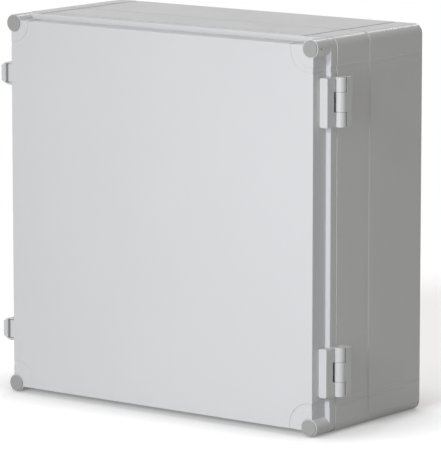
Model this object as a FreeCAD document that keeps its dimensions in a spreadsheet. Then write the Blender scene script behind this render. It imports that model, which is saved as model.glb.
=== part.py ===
"""Wall-mounted electrical junction box with a hinged door.

Frame: +Z up, +X to the right, the door faces -Y. The origin is the centre of the rear wall's outer face, so
"depth" below means the distance in front of the wall: a point at depth d has Y = -d. Millimetres.
"""
import FreeCAD, Part
import math
import os
import re
import Sketcher
from FreeCAD import Placement, Rotation, Vector

SIZES = {
    # enclosure
    "box_width": 400.0,
    "box_height": 400.0,
    "base_depth": 95.0,
    "frame_depth": 55.0,
    "rim_depth": 10.0,
    "panel_depth": 22.0,
    "corner_radius": 9.5,
    "shell_wall": 4.0,
    "back_wall": 4.0,
    "door_wall": 3.0,
    "panel_recess": 6.0,
    "column_side": 19.0,
    "edge_break": 0.7,
    "rear_edge": 2.0,
    "groove_inner_radius": 19.0,
    "groove_outer_radius": 24.5,
    "groove_depth": 0.4,
    # sealing rings share one corner centre, this far in from the outer walls
    "seal_corner": 57.0,
    "ledge_inset": 10.0,
    "ledge_thickness": 4.0,
    "tongue_inset": 4.5,
    "tongue_thickness": 2.5,
    "tongue_height": 4.0,
    "gasket_inset": 3.0,
    "gasket_width": 5.8,
    "channel_wall_inset": 9.0,
    "channel_wall": 2.0,
    "channel_wall_gap": 1.0,
    "skirt_wall": 2.5,
    "door_gap": 0.3,
    # joint between base and extension frame
    "flange_margin": 0.5,
    "flange_thickness": 5.0,
    "frame_seal_inset": 3.0,
    "frame_seal_width": 3.0,
    "frame_seal_depth": 2.0,
    "seal_clearance": 0.1,
    "frame_screw_inset": 9.0,
    "frame_screw_spread": 60.0,
    "frame_boss_radius": 5.5,
    "frame_boss_depth": 8.0,
    "frame_boss_floor": 1.0,
    "frame_screw_radius": 2.0,
    "frame_screw_length": 11.0,
    "frame_head_radius": 3.5,
    "frame_head_height": 2.6,
    "screw_clearance": 0.05,
    # wall fixing through the corner columns
    "wall_hole_radius": 3.25,
    "wall_seat": 12.0,
    "channel_radius": 6.0,
    # blanking caps of the door posts
    "post_setback": 0.4,
    "cap_radius": 8.3,
    "cap_thickness": 1.4,
    "cap_chamfer": 0.4,
    "cap_shank_radius": 6.4,
    "cap_shank_length": 8.0,
    "cap_clearance": 0.1,
    "post_bore_depth": 18.0,
    "post_hole_radius": 2.6,
    "wire_hole_radius": 1.0,
    "wire_hole_depth": 6.0,
    "wire_hole_setback": 6.0,
    # hinges
    "hinge_corner": 64.0,
    "hinge_length": 50.0,
    "hinge_wall_gap": 0.5,
    "hinge_lift": 1.5,
    "knuckle_radius": 5.5,
    "middle_knuckle": 20.0,
    "knuckle_gap": 0.25,
    "hinge_pin_radius": 2.0,
    "pin_clearance": 0.06,
    "pin_setback": 0.3,
    "door_leaf_rise": 11.5,
    "door_leaf_proud": 3.8,
    "door_leaf_skirt": 1.6,
    "frame_leaf_front": 2.0,
    "frame_leaf_depth": 9.5,
    "leaf_clearance": 0.25,
    "leaf_corner": 2.0,
    "leaf_edge": 0.8,
    "slot_notch": 1.7,
    "web_inset": 0.5,
    "web_lap": 1.0,
    "hinge_screw_spread": 15.0,
    "frame_leaf_screw_inset": 7.6,
    "door_leaf_screw_rise": 5.8,
    "hinge_screw_radius": 1.7,
    "hinge_screw_length": 8.5,
    "screw_tip_gap": 0.5,
    "hinge_head_radius": 3.2,
    "hinge_head_height": 2.0,
    # latches
    "latch_corner": 64.0,
    "bracket_height": 19.0,
    "bracket_width": 15.2,
    "bracket_rise": 11.3,
    "pivot_radius": 3.1,
    "latch_pin_radius": 1.5,
    "lever_height": 24.6,
    "lever_fork_gap": 0.6,
    "lever_gap": 5.0,
    "lever_proud": 17.2,
    "lever_tip": 7.5,
    "taper_step": 1.1,
    "lever_edge": 1.0,
    "lever_lip": 2.0,
    "grip_gap": 0.5,
    "hook_height": 14.0,
    "hook_thickness": 2.5,
    "hook_reach": 6.5,
    "hook_nose": 2.8,
    "hook_nose_reach": 1.2,
    "hook_root": 2.0,
    "hook_clearance": 0.3,
    "keeper_height": 20.0,
    "keeper_length": 13.5,
    "keeper_thickness": 10.2,
    "keeper_bead": 1.5,
    "keeper_bead_length": 2.5,
    "keeper_setback": 0.5,
    "latch_screw_radius": 1.5,
    "latch_screw_spread": 5.0,
    "latch_screw_rise": 3.6,
    "latch_screw_length": 7.5,
    "latch_head_radius": 2.8,
    "latch_head_height": 1.6,
    "keeper_screw_spread": 6.0,
    "keeper_screw_inset": 3.5,
    "keeper_screw_length": 13.2,
    "keeper_head_height": 0.9,
    # mounting plate
    "plate_margin": 30.0,
    "plate_thickness": 2.0,
    "plate_corner_cut": 30.0,
    "plate_screw_inset": 20.0,
    "plate_boss_radius": 6.0,
    "plate_boss_height": 10.0,
    "insert_radius": 3.0,
    "insert_length": 8.0,
    "insert_clearance": 0.03,
    "plate_hole_radius": 2.4,
    "plate_screw_radius": 2.0,
    "plate_screw_length": 9.0,
    "plate_head_radius": 4.0,
    "plate_head_height": 2.8,
    # terminal rail
    "rail_margin": 20.0,
    "rail_height": 60.0,
    "rail_width": 35.0,
    "rail_channel": 27.0,
    "rail_depth": 7.5,
    "rail_sheet": 1.0,
    "rail_screw_inset": 15.0,
    "rail_screw_length": 5.0,
    # terminals
    "terminal_count": 10.0,
    "terminal_pitch": 6.2,
    "terminal_width": 6.0,
    "terminal_half_height": 22.0,
    "terminal_shoulder": 25.0,
    "terminal_top": 37.0,
    "terminal_top_half": 12.0,
    "terminal_foot": 3.0,
    "terminal_flare": 2.0,
    "terminal_clearance": 0.3,
    "entry_radius": 2.0,
    "entry_depth": 10.0,
    "entry_rise": 18.0,
    "clamp_screw_radius": 1.5,
    "clamp_head_radius": 1.8,
    "clamp_head_height": 1.5,
    "clamp_screw_length": 9.0,
    "clamp_hole_radius": 1.9,
    "clamp_hole_depth": 17.0,
    "clamp_screw_offset": 14.0,
    "clamp_screw_rise": 20.0,
    "end_stop_width": 8.0,
    "end_stop_half_height": 20.0,
    "end_stop_top": 24.0,
    "end_stop_bevel": 4.0,
    # shape shared by every screw, as shares of its radius or of its head
    "screw_point": 0.7,
    "screw_taper": 0.6,
    "head_shoulder": 0.6,
    "head_crown": 0.6,
    "recess_arm": 0.5,
    "recess_half_width": 0.12,
    "recess_floor": 0.4,
    # cuts run this far past the faces that they open
    "overrun": 1.0,
}

TOLERANCE = 0.01
ALONG = 0.99
QUARTER_TURN = 90
FULL_TURN = 360

doc = FreeCAD.newDocument("junction_box")
sheet = doc.addObject("Spreadsheet::Sheet", "Sizes")
for row, (size_name, number) in enumerate(SIZES.items(), start=1):
    sheet.set(f"A{row}", size_name)
    sheet.set(f"B{row}", str(number))
    sheet.setAlias(f"B{row}", size_name)
doc.recompute()

# Lengths worked out from the sizes, written as expressions so that they stay bound to the sheet.
HALF_W = "(box_width / 2)"
HALF_H = "(box_height / 2)"
POST_X = f"({HALF_W} - corner_radius)"
POST_Z = f"({HALF_H} - corner_radius)"
PARTING = "(base_depth + frame_depth)"
RIM_FRONT = f"({PARTING} + rim_depth)"
DOOR_FRONT = f"({RIM_FRONT} + panel_depth)"
PANEL_X = f"({HALF_W} - panel_recess)"
PANEL_Z = f"({HALF_H} - panel_recess)"
CHANNEL_FLOOR = f"({RIM_FRONT} - door_wall)"
GASKET_BACK = f"({PARTING} + tongue_height + door_gap)"
FLANGE_INSET = "(frame_screw_inset + frame_boss_radius + flange_margin)"
HINGE_Z = f"({HALF_H} - hinge_corner)"
HINGE_X = f"({HALF_W} + hinge_wall_gap + knuckle_radius)"
HINGE_D = f"({PARTING} + hinge_lift)"
LATCH_Z = f"({HALF_H} - latch_corner)"
PIVOT_X = f"({PANEL_X} + bracket_width - pivot_radius)"
PIVOT_D = f"({RIM_FRONT} + bracket_rise - pivot_radius)"
PLATE_BACK = "(back_wall + plate_boss_height)"
PLATE_FRONT = f"({PLATE_BACK} + plate_thickness)"
PLATE_HALF_X = f"({HALF_W} - plate_margin)"
PLATE_HALF_Z = f"({HALF_H} - plate_margin)"
PLATE_SCREW_X = f"({PLATE_HALF_X} - plate_screw_inset)"
PLATE_SCREW_Z = f"({PLATE_HALF_Z} - plate_screw_inset)"
RAIL_FRONT = f"({PLATE_FRONT} + rail_depth)"
RAIL_HALF = f"({PLATE_HALF_X} - rail_margin)"
RAIL_SCREW_X = f"({RAIL_HALF} - rail_screw_inset)"

NODES = []


def bound(expression):
    """An expression in size names, spelled with the sheet's own cell names."""
    return re.sub(r"[a-z_]+", lambda word: f"Sizes.{word.group()}" if word.group() in SIZES else word.group(),
                  expression)


def value(expression):
    return float(sheet.evalExpression(bound(expression)))


# ---------------------------------------------------------------- outlines for sketches
def fix_point(sketch, geometry, point, x, y):
    """Dimension a point of a sketch from the sketch's origin, bound to the sheet."""
    for kind, expression in (("DistanceX", x), ("DistanceY", y)):
        index = sketch.addConstraint(Sketcher.Constraint(kind, -1, 1, geometry, point, value(expression)))
        sketch.setExpression(f"Constraints[{index}]", bound(expression))


def fix_radius(sketch, geometry, radius):
    index = sketch.addConstraint(Sketcher.Constraint("Radius", geometry, value(radius)))
    sketch.setExpression(f"Constraints[{index}]", bound(radius))


def polygon(*points):
    """Closed outline through corner points, each a pair of expressions."""
    def draw(sketch):
        corners = [Vector(value(x), value(y), 0) for x, y in points]
        first = sketch.GeometryCount
        for here, there in zip(corners, corners[1:] + corners[:1]):
            sketch.addGeometry(Part.LineSegment(here, there), False)
        for index, (x, y) in enumerate(points):
            following = first + (index + 1) % len(points)
            sketch.addConstraint(Sketcher.Constraint("Coincident", first + index, 2, following, 1))
            fix_point(sketch, first + index, 1, x, y)
    return draw


def rectangle(x_low, x_high, y_low, y_high):
    return polygon((x_low, y_low), (x_high, y_low), (x_high, y_high), (x_low, y_high))


def circle(x, y, radius):
    def draw(sketch):
        centre = Vector(value(x), value(y), 0)
        index = sketch.addGeometry(Part.Circle(centre, Vector(0, 0, 1), value(radius)), False)
        fix_radius(sketch, index, radius)
        fix_point(sketch, index, 3, x, y)
    return draw


def rounded(half_x, half_y, radius):
    """Rounded rectangle about the sketch's origin."""
    def draw(sketch):
        wide, tall, bend = value(half_x), value(half_y), value(radius)
        near_x, near_y = wide - bend, tall - bend
        first = sketch.GeometryCount
        sides = [((-near_x, -tall), (near_x, -tall)), ((wide, -near_y), (wide, near_y)),
                 ((near_x, tall), (-near_x, tall)), ((-wide, near_y), (-wide, -near_y))]
        for (start_x, start_y), (end_x, end_y) in sides:
            sketch.addGeometry(Part.LineSegment(Vector(start_x, start_y, 0), Vector(end_x, end_y, 0)), False)
        centres = [(near_x, -near_y), (near_x, near_y), (-near_x, near_y), (-near_x, -near_y)]
        quarter = math.pi / 2
        for turn, (centre_x, centre_y) in enumerate(centres):
            arc = Part.Circle(Vector(centre_x, centre_y, 0), Vector(0, 0, 1), bend)
            sketch.addGeometry(Part.ArcOfCircle(arc, (turn - 1) * quarter, turn * quarter), False)
        for corner in range(4):
            line, arc, following = first + corner, first + 4 + corner, first + (corner + 1) % 4
            sketch.addConstraint(Sketcher.Constraint("Tangent", line, 2, arc, 1))
            sketch.addConstraint(Sketcher.Constraint("Tangent", arc, 2, following, 1))
        for line in (first, first + 2):
            sketch.addConstraint(Sketcher.Constraint("Horizontal", line))
        for line in (first + 1, first + 3):
            sketch.addConstraint(Sketcher.Constraint("Vertical", line))
        for arc in range(first + 5, first + 8):
            sketch.addConstraint(Sketcher.Constraint("Equal", first + 4, arc))
        fix_radius(sketch, first + 4, radius)
        fix_point(sketch, first + 4, 3, f"{half_x} - {radius}", f"-({half_y} - {radius})")
        fix_point(sketch, first + 6, 3, f"-({half_x} - {radius})", f"{half_y} - {radius}")
    return draw


def seal_ring(inset):
    """Rounded rectangle of the sealing family, `inset` inside the outer walls."""
    return rounded(f"({HALF_W} - {inset})", f"({HALF_H} - {inset})", f"(seal_corner - {inset})")


def notched(half_x, half_y, column_x, column_y):
    """Rectangle about the origin whose corners are left to the square corner columns."""
    return polygon((f"-{column_x}", f"-{half_y}"), (column_x, f"-{half_y}"), (column_x, f"-{column_y}"),
                   (half_x, f"-{column_y}"), (half_x, column_y), (column_x, column_y), (column_x, half_y),
                   (f"-{column_x}", half_y), (f"-{column_x}", column_y), (f"-{half_x}", column_y),
                   (f"-{half_x}", f"-{column_y}"), (f"-{column_x}", f"-{column_y}"))


CORNERS = [(sign_x, sign_z) for sign_x in ("", "-") for sign_z in ("", "-")]


def at_corners(x, z, radius):
    """One circle at each of the four corners, (x, z) from the centre."""
    return [circle(f"{sign_x}{x}", f"{sign_z}{z}", radius) for sign_x, sign_z in CORNERS]


# ---------------------------------------------------------------- features
def new_body(label, x="0", depth="0", z="0", is_node=True):
    body = doc.addObject("PartDesign::Body", label)
    body.Label = label
    for axis, expression in (("x", x), ("y", f"-({depth})"), ("z", z)):
        if expression not in ("0", "-(0)"):
            body.setExpression(f"Placement.Base.{axis}", bound(expression))
    if is_node:
        NODES.append(body)
    return body


def sketch_on(body, plane, offset, outlines):
    """Sketch on one of the body's own planes. XZ looks along -Y, so its offset is a depth."""
    sketch = body.newObject("Sketcher::SketchObject", f"{body.Label}_sketch")
    support = next(item for item in body.Origin.OriginFeatures if item.Role == plane)
    sketch.AttachmentSupport = [(support, "")]
    sketch.MapMode = "FlatFace"
    if offset != "0":
        sketch.setExpression("AttachmentOffset.Base.z", bound(offset))
    for draw in outlines:
        draw(sketch)
    return sketch


def pad(body, plane, low, high, *outlines):
    feature = body.newObject("PartDesign::Pad", f"{body.Label}_pad")
    feature.Profile = sketch_on(body, plane, low, outlines)
    feature.setExpression("Length", bound(f"({high}) - ({low})"))
    doc.recompute()
    return feature


def pocket(body, plane, low, high, *outlines):
    """Cut from offset low to offset high, and make sure that something was cut."""
    before = body.Shape.Volume
    feature = body.newObject("PartDesign::Pocket", f"{body.Label}_pocket")
    feature.Profile = sketch_on(body, plane, low, outlines)
    feature.Reversed = True
    feature.setExpression("Length", bound(f"({high}) - ({low})"))
    doc.recompute()
    if body.Shape.Volume > before - TOLERANCE:
        raise RuntimeError(f"{feature.Label} cuts nothing")
    return feature


def revolve(body, *points):
    """Solid of revolution about the body's Z axis: points are (radius, height) corners."""
    feature = body.newObject("PartDesign::Revolution", f"{body.Label}_turned")
    feature.Profile = sketch_on(body, "XZ_Plane", "0", [polygon(*points)])
    feature.ReferenceAxis = (feature.Profile[0], ["V_Axis"])
    feature.Angle = FULL_TURN
    doc.recompute()
    return feature


def edges_of(shape, test):
    """Names of the edges whose middle point and direction pass the test."""
    names = []
    for number, edge in enumerate(shape.Edges, start=1):
        middle = edge.valueAt((edge.FirstParameter + edge.LastParameter) / 2)
        direction = edge.tangentAt((edge.FirstParameter + edge.LastParameter) / 2)
        if test(middle, direction):
            names.append(f"Edge{number}")
    return names


def dress(body, kind, size, test):
    """Fillet or chamfer every edge of the body that passes the test."""
    base = body.Tip
    names = edges_of(base.Shape, test)
    if not names:
        raise RuntimeError(f"no edge of {body.Label} passes the test")
    feature = body.newObject(f"PartDesign::{kind}", f"{body.Label}_{kind.lower()}")
    feature.Base = (base, names)
    feature.setExpression("Radius" if kind == "Fillet" else "Size", bound(size))
    doc.recompute()
    return feature


def near(number, expression):
    return abs(number - value(expression)) < TOLERANCE


def beyond(number, expression):
    return number > value(expression) + TOLERANCE


def at_depth(expression):
    """Test for edges that lie flat in the plane at this depth."""
    return lambda middle, direction: near(middle.y, f"-({expression})") and abs(direction.y) < TOLERANCE


def screw(label, radius, length, head_radius, head_height):
    """Pan head screw on +Z, with a cross recess: the head's seat is at the origin, the head above it."""
    body = new_body(label, is_node=False)
    revolve(body, ("0", f"-{length}"), (f"{radius} * screw_point", f"-{length}"),
            (radius, f"-{length} + {radius} * screw_taper"), (radius, "0"), (head_radius, "0"),
            (head_radius, f"{head_height} * head_shoulder"),
            (f"{head_radius} * head_crown", head_height), ("0", head_height))
    arm, half_slot = f"{head_radius} * recess_arm", f"{head_radius} * recess_half_width"
    pocket(body, "XY_Plane", f"{head_height} * recess_floor", f"{head_height} + overrun",
           polygon((arm, f"-{half_slot}"), (arm, half_slot), (half_slot, half_slot),
                   (half_slot, arm), (f"-{half_slot}", arm), (f"-{half_slot}", half_slot),
                   (f"-{arm}", half_slot), (f"-{arm}", f"-{half_slot}"), (f"-{half_slot}", f"-{half_slot}"),
                   (f"-{half_slot}", f"-{arm}"), (half_slot, f"-{arm}"), (half_slot, f"-{half_slot}")))
    return body


FACING = {
    "front": Rotation(Vector(1, 0, 0), QUARTER_TURN),
    "right": Rotation(Vector(0, 1, 0), QUARTER_TURN),
    "left": Rotation(Vector(0, 1, 0), -QUARTER_TURN),
}


def group(label, part, facing, places):
    """One node of identical separate solids: links to one part, each at (x, depth, z)."""
    links = []
    for number, (x, depth, z) in enumerate(places, start=1):
        link = doc.addObject("App::Link", f"{label}_{number}")
        link.LinkedObject = part
        link.Placement = Placement(Vector(0, 0, 0), FACING[facing])
        for axis, expression in (("x", x), ("y", f"-({depth})"), ("z", z)):
            link.setExpression(f"Placement.Base.{axis}", bound(expression))
        links.append(link)
    compound = doc.addObject("Part::Compound", label)
    compound.Label = label
    compound.Links = links
    NODES.append(compound)
    return compound


def cut_grooves(body, low, high, half_x, half_z):
    """Shallow bands along the sides, where the ring groove of each corner post meets them."""
    strips = []
    for wall in ("", "-"):
        side = (f"{wall}({half_x} - groove_depth)", f"{wall}({half_x} + groove_depth)")
        end = (f"{wall}({half_z} - groove_depth)", f"{wall}({half_z} + groove_depth)")
        for half in ("", "-"):
            strips.append(rectangle(*side, f"{half}({POST_Z} - groove_outer_radius)",
                                    f"{half}({POST_Z} - groove_inner_radius)"))
            strips.append(rectangle(f"{half}({POST_X} - groove_outer_radius)",
                                    f"{half}({POST_X} - groove_inner_radius)", *end))
    pocket(body, "XZ_Plane", low, high, *strips)


# ---------------------------------------------------------------- places of the fasteners
FRAME_SCREWS = [(f"{side_x}({HALF_W} - frame_screw_inset)", f"{side_z}frame_screw_spread")
                for side_x, side_z in CORNERS]
FRAME_SCREWS += [(f"{side_x}frame_screw_spread", f"{side_z}({HALF_H} - frame_screw_inset)")
                 for side_x, side_z in CORNERS]
HINGE_SCREW_Z = [f"{half}{HINGE_Z} {sign} hinge_screw_spread" for half in ("", "-") for sign in ("+", "-")]
BRACKET_SCREW_Z = [f"{half}{LATCH_Z} {sign} latch_screw_spread" for half in ("", "-") for sign in ("+", "-")]
KEEPER_SCREW_Z = [f"{half}{LATCH_Z} {sign} keeper_screw_spread" for half in ("", "-") for sign in ("+", "-")]
FRAME_LEAF_SCREW_D = f"({PARTING} - frame_leaf_screw_inset)"
DOOR_LEAF_SCREW_D = f"({RIM_FRONT} + door_leaf_screw_rise)"
BRACKET_SCREW_D = f"({RIM_FRONT} + latch_screw_rise)"
KEEPER_SCREW_D = f"({PARTING} - keeper_setback - keeper_length + keeper_screw_inset)"


def holes(x, places, radius):
    """Circles of one radius with its running clearance, at one x and each of the places."""
    return [circle(x, place, f"{radius} + screw_clearance") for place in places]


# ---------------------------------------------------------------- enclosure
def make_rear_base():
    """Moulded base: back and side walls, corner columns with the wall screw channels, front flange."""
    body = new_body("rear_base")
    flange_back = "(base_depth - flange_thickness)"
    boss_back = f"({flange_back} - frame_boss_depth)"
    pad(body, "XZ_Plane", "0", "base_depth", rounded(HALF_W, HALF_H, "corner_radius"))
    dress(body, "Fillet", "rear_edge", at_depth("0"))
    pocket(body, "XZ_Plane", "back_wall", flange_back,
           notched(f"({HALF_W} - shell_wall)", f"({HALF_H} - shell_wall)",
                   f"({HALF_W} - column_side)", f"({HALF_H} - column_side)"))
    pocket(body, "XZ_Plane", flange_back, "base_depth", seal_ring(FLANGE_INSET))
    pad(body, "XZ_Plane", boss_back, flange_back,
        *[circle(x, z, "frame_boss_radius") for x, z in FRAME_SCREWS])
    pocket(body, "XZ_Plane", f"{boss_back} + frame_boss_floor", "base_depth",
           *[circle(x, z, "frame_screw_radius + screw_clearance") for x, z in FRAME_SCREWS])
    pad(body, "XZ_Plane", "back_wall", PLATE_BACK,
        *at_corners(PLATE_SCREW_X, PLATE_SCREW_Z, "plate_boss_radius"))
    pocket(body, "XZ_Plane", f"{PLATE_BACK} - insert_length", PLATE_BACK,
           *at_corners(PLATE_SCREW_X, PLATE_SCREW_Z, "insert_radius + insert_clearance"))
    pocket(body, "XZ_Plane", "0", "wall_seat", *at_corners(POST_X, POST_Z, "wall_hole_radius"))
    pocket(body, "XZ_Plane", "wall_seat", "base_depth", *at_corners(POST_X, POST_Z, "channel_radius"))
    cut_grooves(body, "0", "base_depth", HALF_W, HALF_H)


def make_extension_frame():
    """Open frame between base and door: rear flange with seal groove, front ledge with sealing tongue."""
    body = new_body("extension_frame")
    flange_front = "(base_depth + flange_thickness)"
    ledge_back = f"({PARTING} - ledge_thickness)"
    pad(body, "XZ_Plane", "base_depth", PARTING, rounded(HALF_W, HALF_H, "corner_radius"))
    dress(body, "Chamfer", "edge_break", at_depth(PARTING))
    pocket(body, "XZ_Plane", "base_depth", flange_front, seal_ring(FLANGE_INSET))
    pocket(body, "XZ_Plane", flange_front, ledge_back,
           notched(f"({HALF_W} - shell_wall)", f"({HALF_H} - shell_wall)",
                   f"({HALF_W} - column_side)", f"({HALF_H} - column_side)"))
    pocket(body, "XZ_Plane", ledge_back, PARTING, seal_ring("ledge_inset"))
    pad(body, "XZ_Plane", PARTING, f"{PARTING} + tongue_height",
        seal_ring("tongue_inset"), seal_ring("(tongue_inset + tongue_thickness)"))
    pocket(body, "XZ_Plane", "base_depth", "base_depth + frame_seal_depth",
           seal_ring("frame_seal_inset"), seal_ring("(frame_seal_inset + frame_seal_width)"))
    pocket(body, "XZ_Plane", "base_depth", flange_front,
           *[circle(x, z, "frame_screw_radius + screw_clearance") for x, z in FRAME_SCREWS])
    pocket(body, "XZ_Plane", "base_depth", PARTING, *at_corners(POST_X, POST_Z, "channel_radius"))
    pocket(body, "YZ_Plane", f"{HALF_W} - shell_wall", HALF_W,
           *holes(f"-{FRAME_LEAF_SCREW_D}", HINGE_SCREW_Z, "hinge_screw_radius"))
    pocket(body, "YZ_Plane", f"-{HALF_W}", f"shell_wall - {HALF_W}",
           *holes(f"-{KEEPER_SCREW_D}", KEEPER_SCREW_Z, "latch_screw_radius"))
    cut_grooves(body, "base_depth", PARTING, HALF_W, HALF_H)


def make_frame_seal():
    """Cord seal in the frame's rear groove."""
    body = new_body("frame_seal")
    pad(body, "XZ_Plane", "base_depth", "base_depth + frame_seal_depth",
        seal_ring("(frame_seal_inset + seal_clearance)"),
        seal_ring("(frame_seal_inset + frame_seal_width - seal_clearance)"))


def make_frame_screws():
    """Screws driven from the frame's flange into the bosses of the base."""
    part = screw("frame_screw", "frame_screw_radius", "frame_screw_length",
                 "frame_head_radius", "frame_head_height")
    group("frame_screws", part, "front", [(x, "base_depth + flange_thickness", z) for x, z in FRAME_SCREWS])


def make_door():
    """Door moulding: rim with skirt and gasket channel, raised panel, corner posts with cover screw bores."""
    body = new_body("door")
    rim_x, rim_z = f"({HALF_W} - door_gap)", f"({HALF_H} - door_gap)"
    post = "(corner_radius - door_gap)"
    pad(body, "XZ_Plane", f"{PARTING} + door_gap", RIM_FRONT, rounded(rim_x, rim_z, post))
    dress(body, "Chamfer", "edge_break", at_depth(RIM_FRONT))
    pad(body, "XZ_Plane", RIM_FRONT, DOOR_FRONT,
        rectangle(f"-{PANEL_X}", PANEL_X, f"-{PANEL_Z}", PANEL_Z))
    dress(body, "Fillet", "edge_break", at_depth(DOOR_FRONT))
    pad(body, "XZ_Plane", RIM_FRONT, f"{DOOR_FRONT} - post_setback", *at_corners(POST_X, POST_Z, post))
    pocket(body, "XZ_Plane", f"{PARTING} + door_gap", CHANNEL_FLOOR,
           rounded(f"({rim_x} - skirt_wall)", f"({rim_z} - skirt_wall)", f"({post} - skirt_wall)"))
    pocket(body, "XZ_Plane", CHANNEL_FLOOR, RIM_FRONT, seal_ring("(channel_wall_inset + channel_wall)"))
    pocket(body, "XZ_Plane", RIM_FRONT, f"{DOOR_FRONT} - door_wall",
           notched(f"({PANEL_X} - door_wall)", f"({PANEL_Z} - door_wall)",
                   f"({HALF_W} - column_side)", f"({HALF_H} - column_side)"))
    pad(body, "XZ_Plane", f"{PARTING} + channel_wall_gap", CHANNEL_FLOOR,
        seal_ring("channel_wall_inset"), seal_ring("(channel_wall_inset + channel_wall)"))
    pocket(body, "XZ_Plane", f"{DOOR_FRONT} - post_setback", DOOR_FRONT, *at_corners(POST_X, POST_Z, post))
    pocket(body, "XZ_Plane", f"{DOOR_FRONT} - post_setback - post_bore_depth", DOOR_FRONT,
           *at_corners(POST_X, POST_Z, "cap_shank_radius + cap_clearance"))
    pocket(body, "XZ_Plane", CHANNEL_FLOOR, f"{DOOR_FRONT} - post_setback - post_bore_depth",
           *at_corners(POST_X, POST_Z, "post_hole_radius"))
    cut_grooves(body, f"{PARTING} + door_gap", RIM_FRONT, rim_x, rim_z)
    cut_grooves(body, RIM_FRONT, DOOR_FRONT, PANEL_X, PANEL_Z)
    for sign_x, sign_z in CORNERS:
        centre = (f"{sign_x}{POST_X}", f"{sign_z}{POST_Z}")
        pocket(body, "XZ_Plane", f"{DOOR_FRONT} - groove_depth", DOOR_FRONT,
               circle(*centre, "groove_outer_radius"), circle(*centre, "groove_inner_radius"))
    pocket(body, "YZ_Plane", f"{HALF_W} - wire_hole_depth", HALF_W,
           circle(f"-({DOOR_FRONT} - wire_hole_setback)", POST_Z, "wire_hole_radius"))
    pocket(body, "YZ_Plane", f"{PANEL_X} - door_wall", PANEL_X,
           *holes(f"-{DOOR_LEAF_SCREW_D}", HINGE_SCREW_Z, "hinge_screw_radius"))
    pocket(body, "YZ_Plane", f"-{PANEL_X}", f"door_wall - {PANEL_X}",
           *holes(f"-{BRACKET_SCREW_D}", BRACKET_SCREW_Z, "latch_screw_radius"))


def make_door_seal():
    """Foamed gasket in the door's channel, just clear of the frame's tongue."""
    body = new_body("door_seal")
    pad(body, "XZ_Plane", GASKET_BACK, CHANNEL_FLOOR,
        seal_ring("gasket_inset"), seal_ring("(gasket_inset + gasket_width)"))


def make_door_cap(label, sign_x, sign_z):
    """Push-in cap that blanks a door post: chamfered disc on a plain shank."""
    body = new_body(label, f"{sign_x}{POST_X}", f"{DOOR_FRONT} - post_setback", f"{sign_z}{POST_Z}")
    pad(body, "XZ_Plane", "0", "cap_thickness", circle("0", "0", "cap_radius"))
    dress(body, "Chamfer", "cap_chamfer", at_depth("cap_thickness"))
    pad(body, "XZ_Plane", "-cap_shank_length", "0", circle("0", "0", "cap_shank_radius"))
    pocket(body, "XZ_Plane", "-cap_shank_length", "-cap_thickness",
           circle("0", "0", "cap_shank_radius - cap_thickness"))


# ---------------------------------------------------------------- hinges
LEAF_SCREWS = ("hinge_screw_spread", "-hinge_screw_spread")


def make_door_leaf(name, height):
    """Leaf on the door's side, bent over the rim, with the two outer knuckles."""
    half_length, half_middle = "hinge_length / 2", "middle_knuckle / 2"
    rim_side = f"({HALF_W} - door_gap)"
    leaf_side = f"({HALF_W} + door_leaf_proud)"
    leaf_front = f"-({RIM_FRONT} + door_leaf_rise)"
    plate_end = f"-({RIM_FRONT} - door_leaf_skirt)"
    web_side = f"({leaf_side} - web_inset)"
    leaf = new_body(f"{name}_hinge_door_leaf", z=height)
    pad(leaf, "XY_Plane", f"-{half_length}", half_length,
        polygon((PANEL_X, leaf_front), (leaf_side, leaf_front), (leaf_side, plate_end), (rim_side, plate_end),
                (rim_side, f"-{RIM_FRONT}"), (PANEL_X, f"-{RIM_FRONT}")))
    dress(leaf, "Fillet", "leaf_corner",
          lambda middle, direction: abs(direction.y) > ALONG and not near(middle.x, rim_side))
    dress(leaf, "Fillet", "leaf_edge", lambda middle, direction: near(middle.y, leaf_front))
    for low, high in ((f"-{half_length}", f"-{half_middle} - knuckle_gap"),
                      (f"{half_middle} + knuckle_gap", half_length)):
        pad(leaf, "XY_Plane", low, high, circle(HINGE_X, f"-{HINGE_D}", "knuckle_radius"))
        pad(leaf, "XY_Plane", low, high,
            polygon((rim_side, f"{plate_end} - web_lap"), (web_side, f"{plate_end} - web_lap"),
                    (web_side, f"-{HINGE_D} - knuckle_radius / 2"), (HINGE_X, f"-{HINGE_D}"),
                    (f"{HINGE_X} - knuckle_radius", f"-{HINGE_D}"), (rim_side, f"-{HINGE_D} - web_lap")))
    pocket(leaf, "XY_Plane", f"-{half_middle} - knuckle_gap", f"{half_middle} + knuckle_gap",
           rectangle(rim_side, f"{leaf_side} + overrun",
                     f"{plate_end} + overrun", f"{plate_end} - slot_notch"))
    pocket(leaf, "XY_Plane", f"-{half_length}", half_length,
           circle(HINGE_X, f"-{HINGE_D}", "hinge_pin_radius + pin_clearance"))
    pocket(leaf, "YZ_Plane", PANEL_X, f"{PANEL_X} + hinge_screw_length - door_wall + screw_tip_gap",
           *holes(f"-{DOOR_LEAF_SCREW_D}", LEAF_SCREWS, "hinge_screw_radius"))


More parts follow.
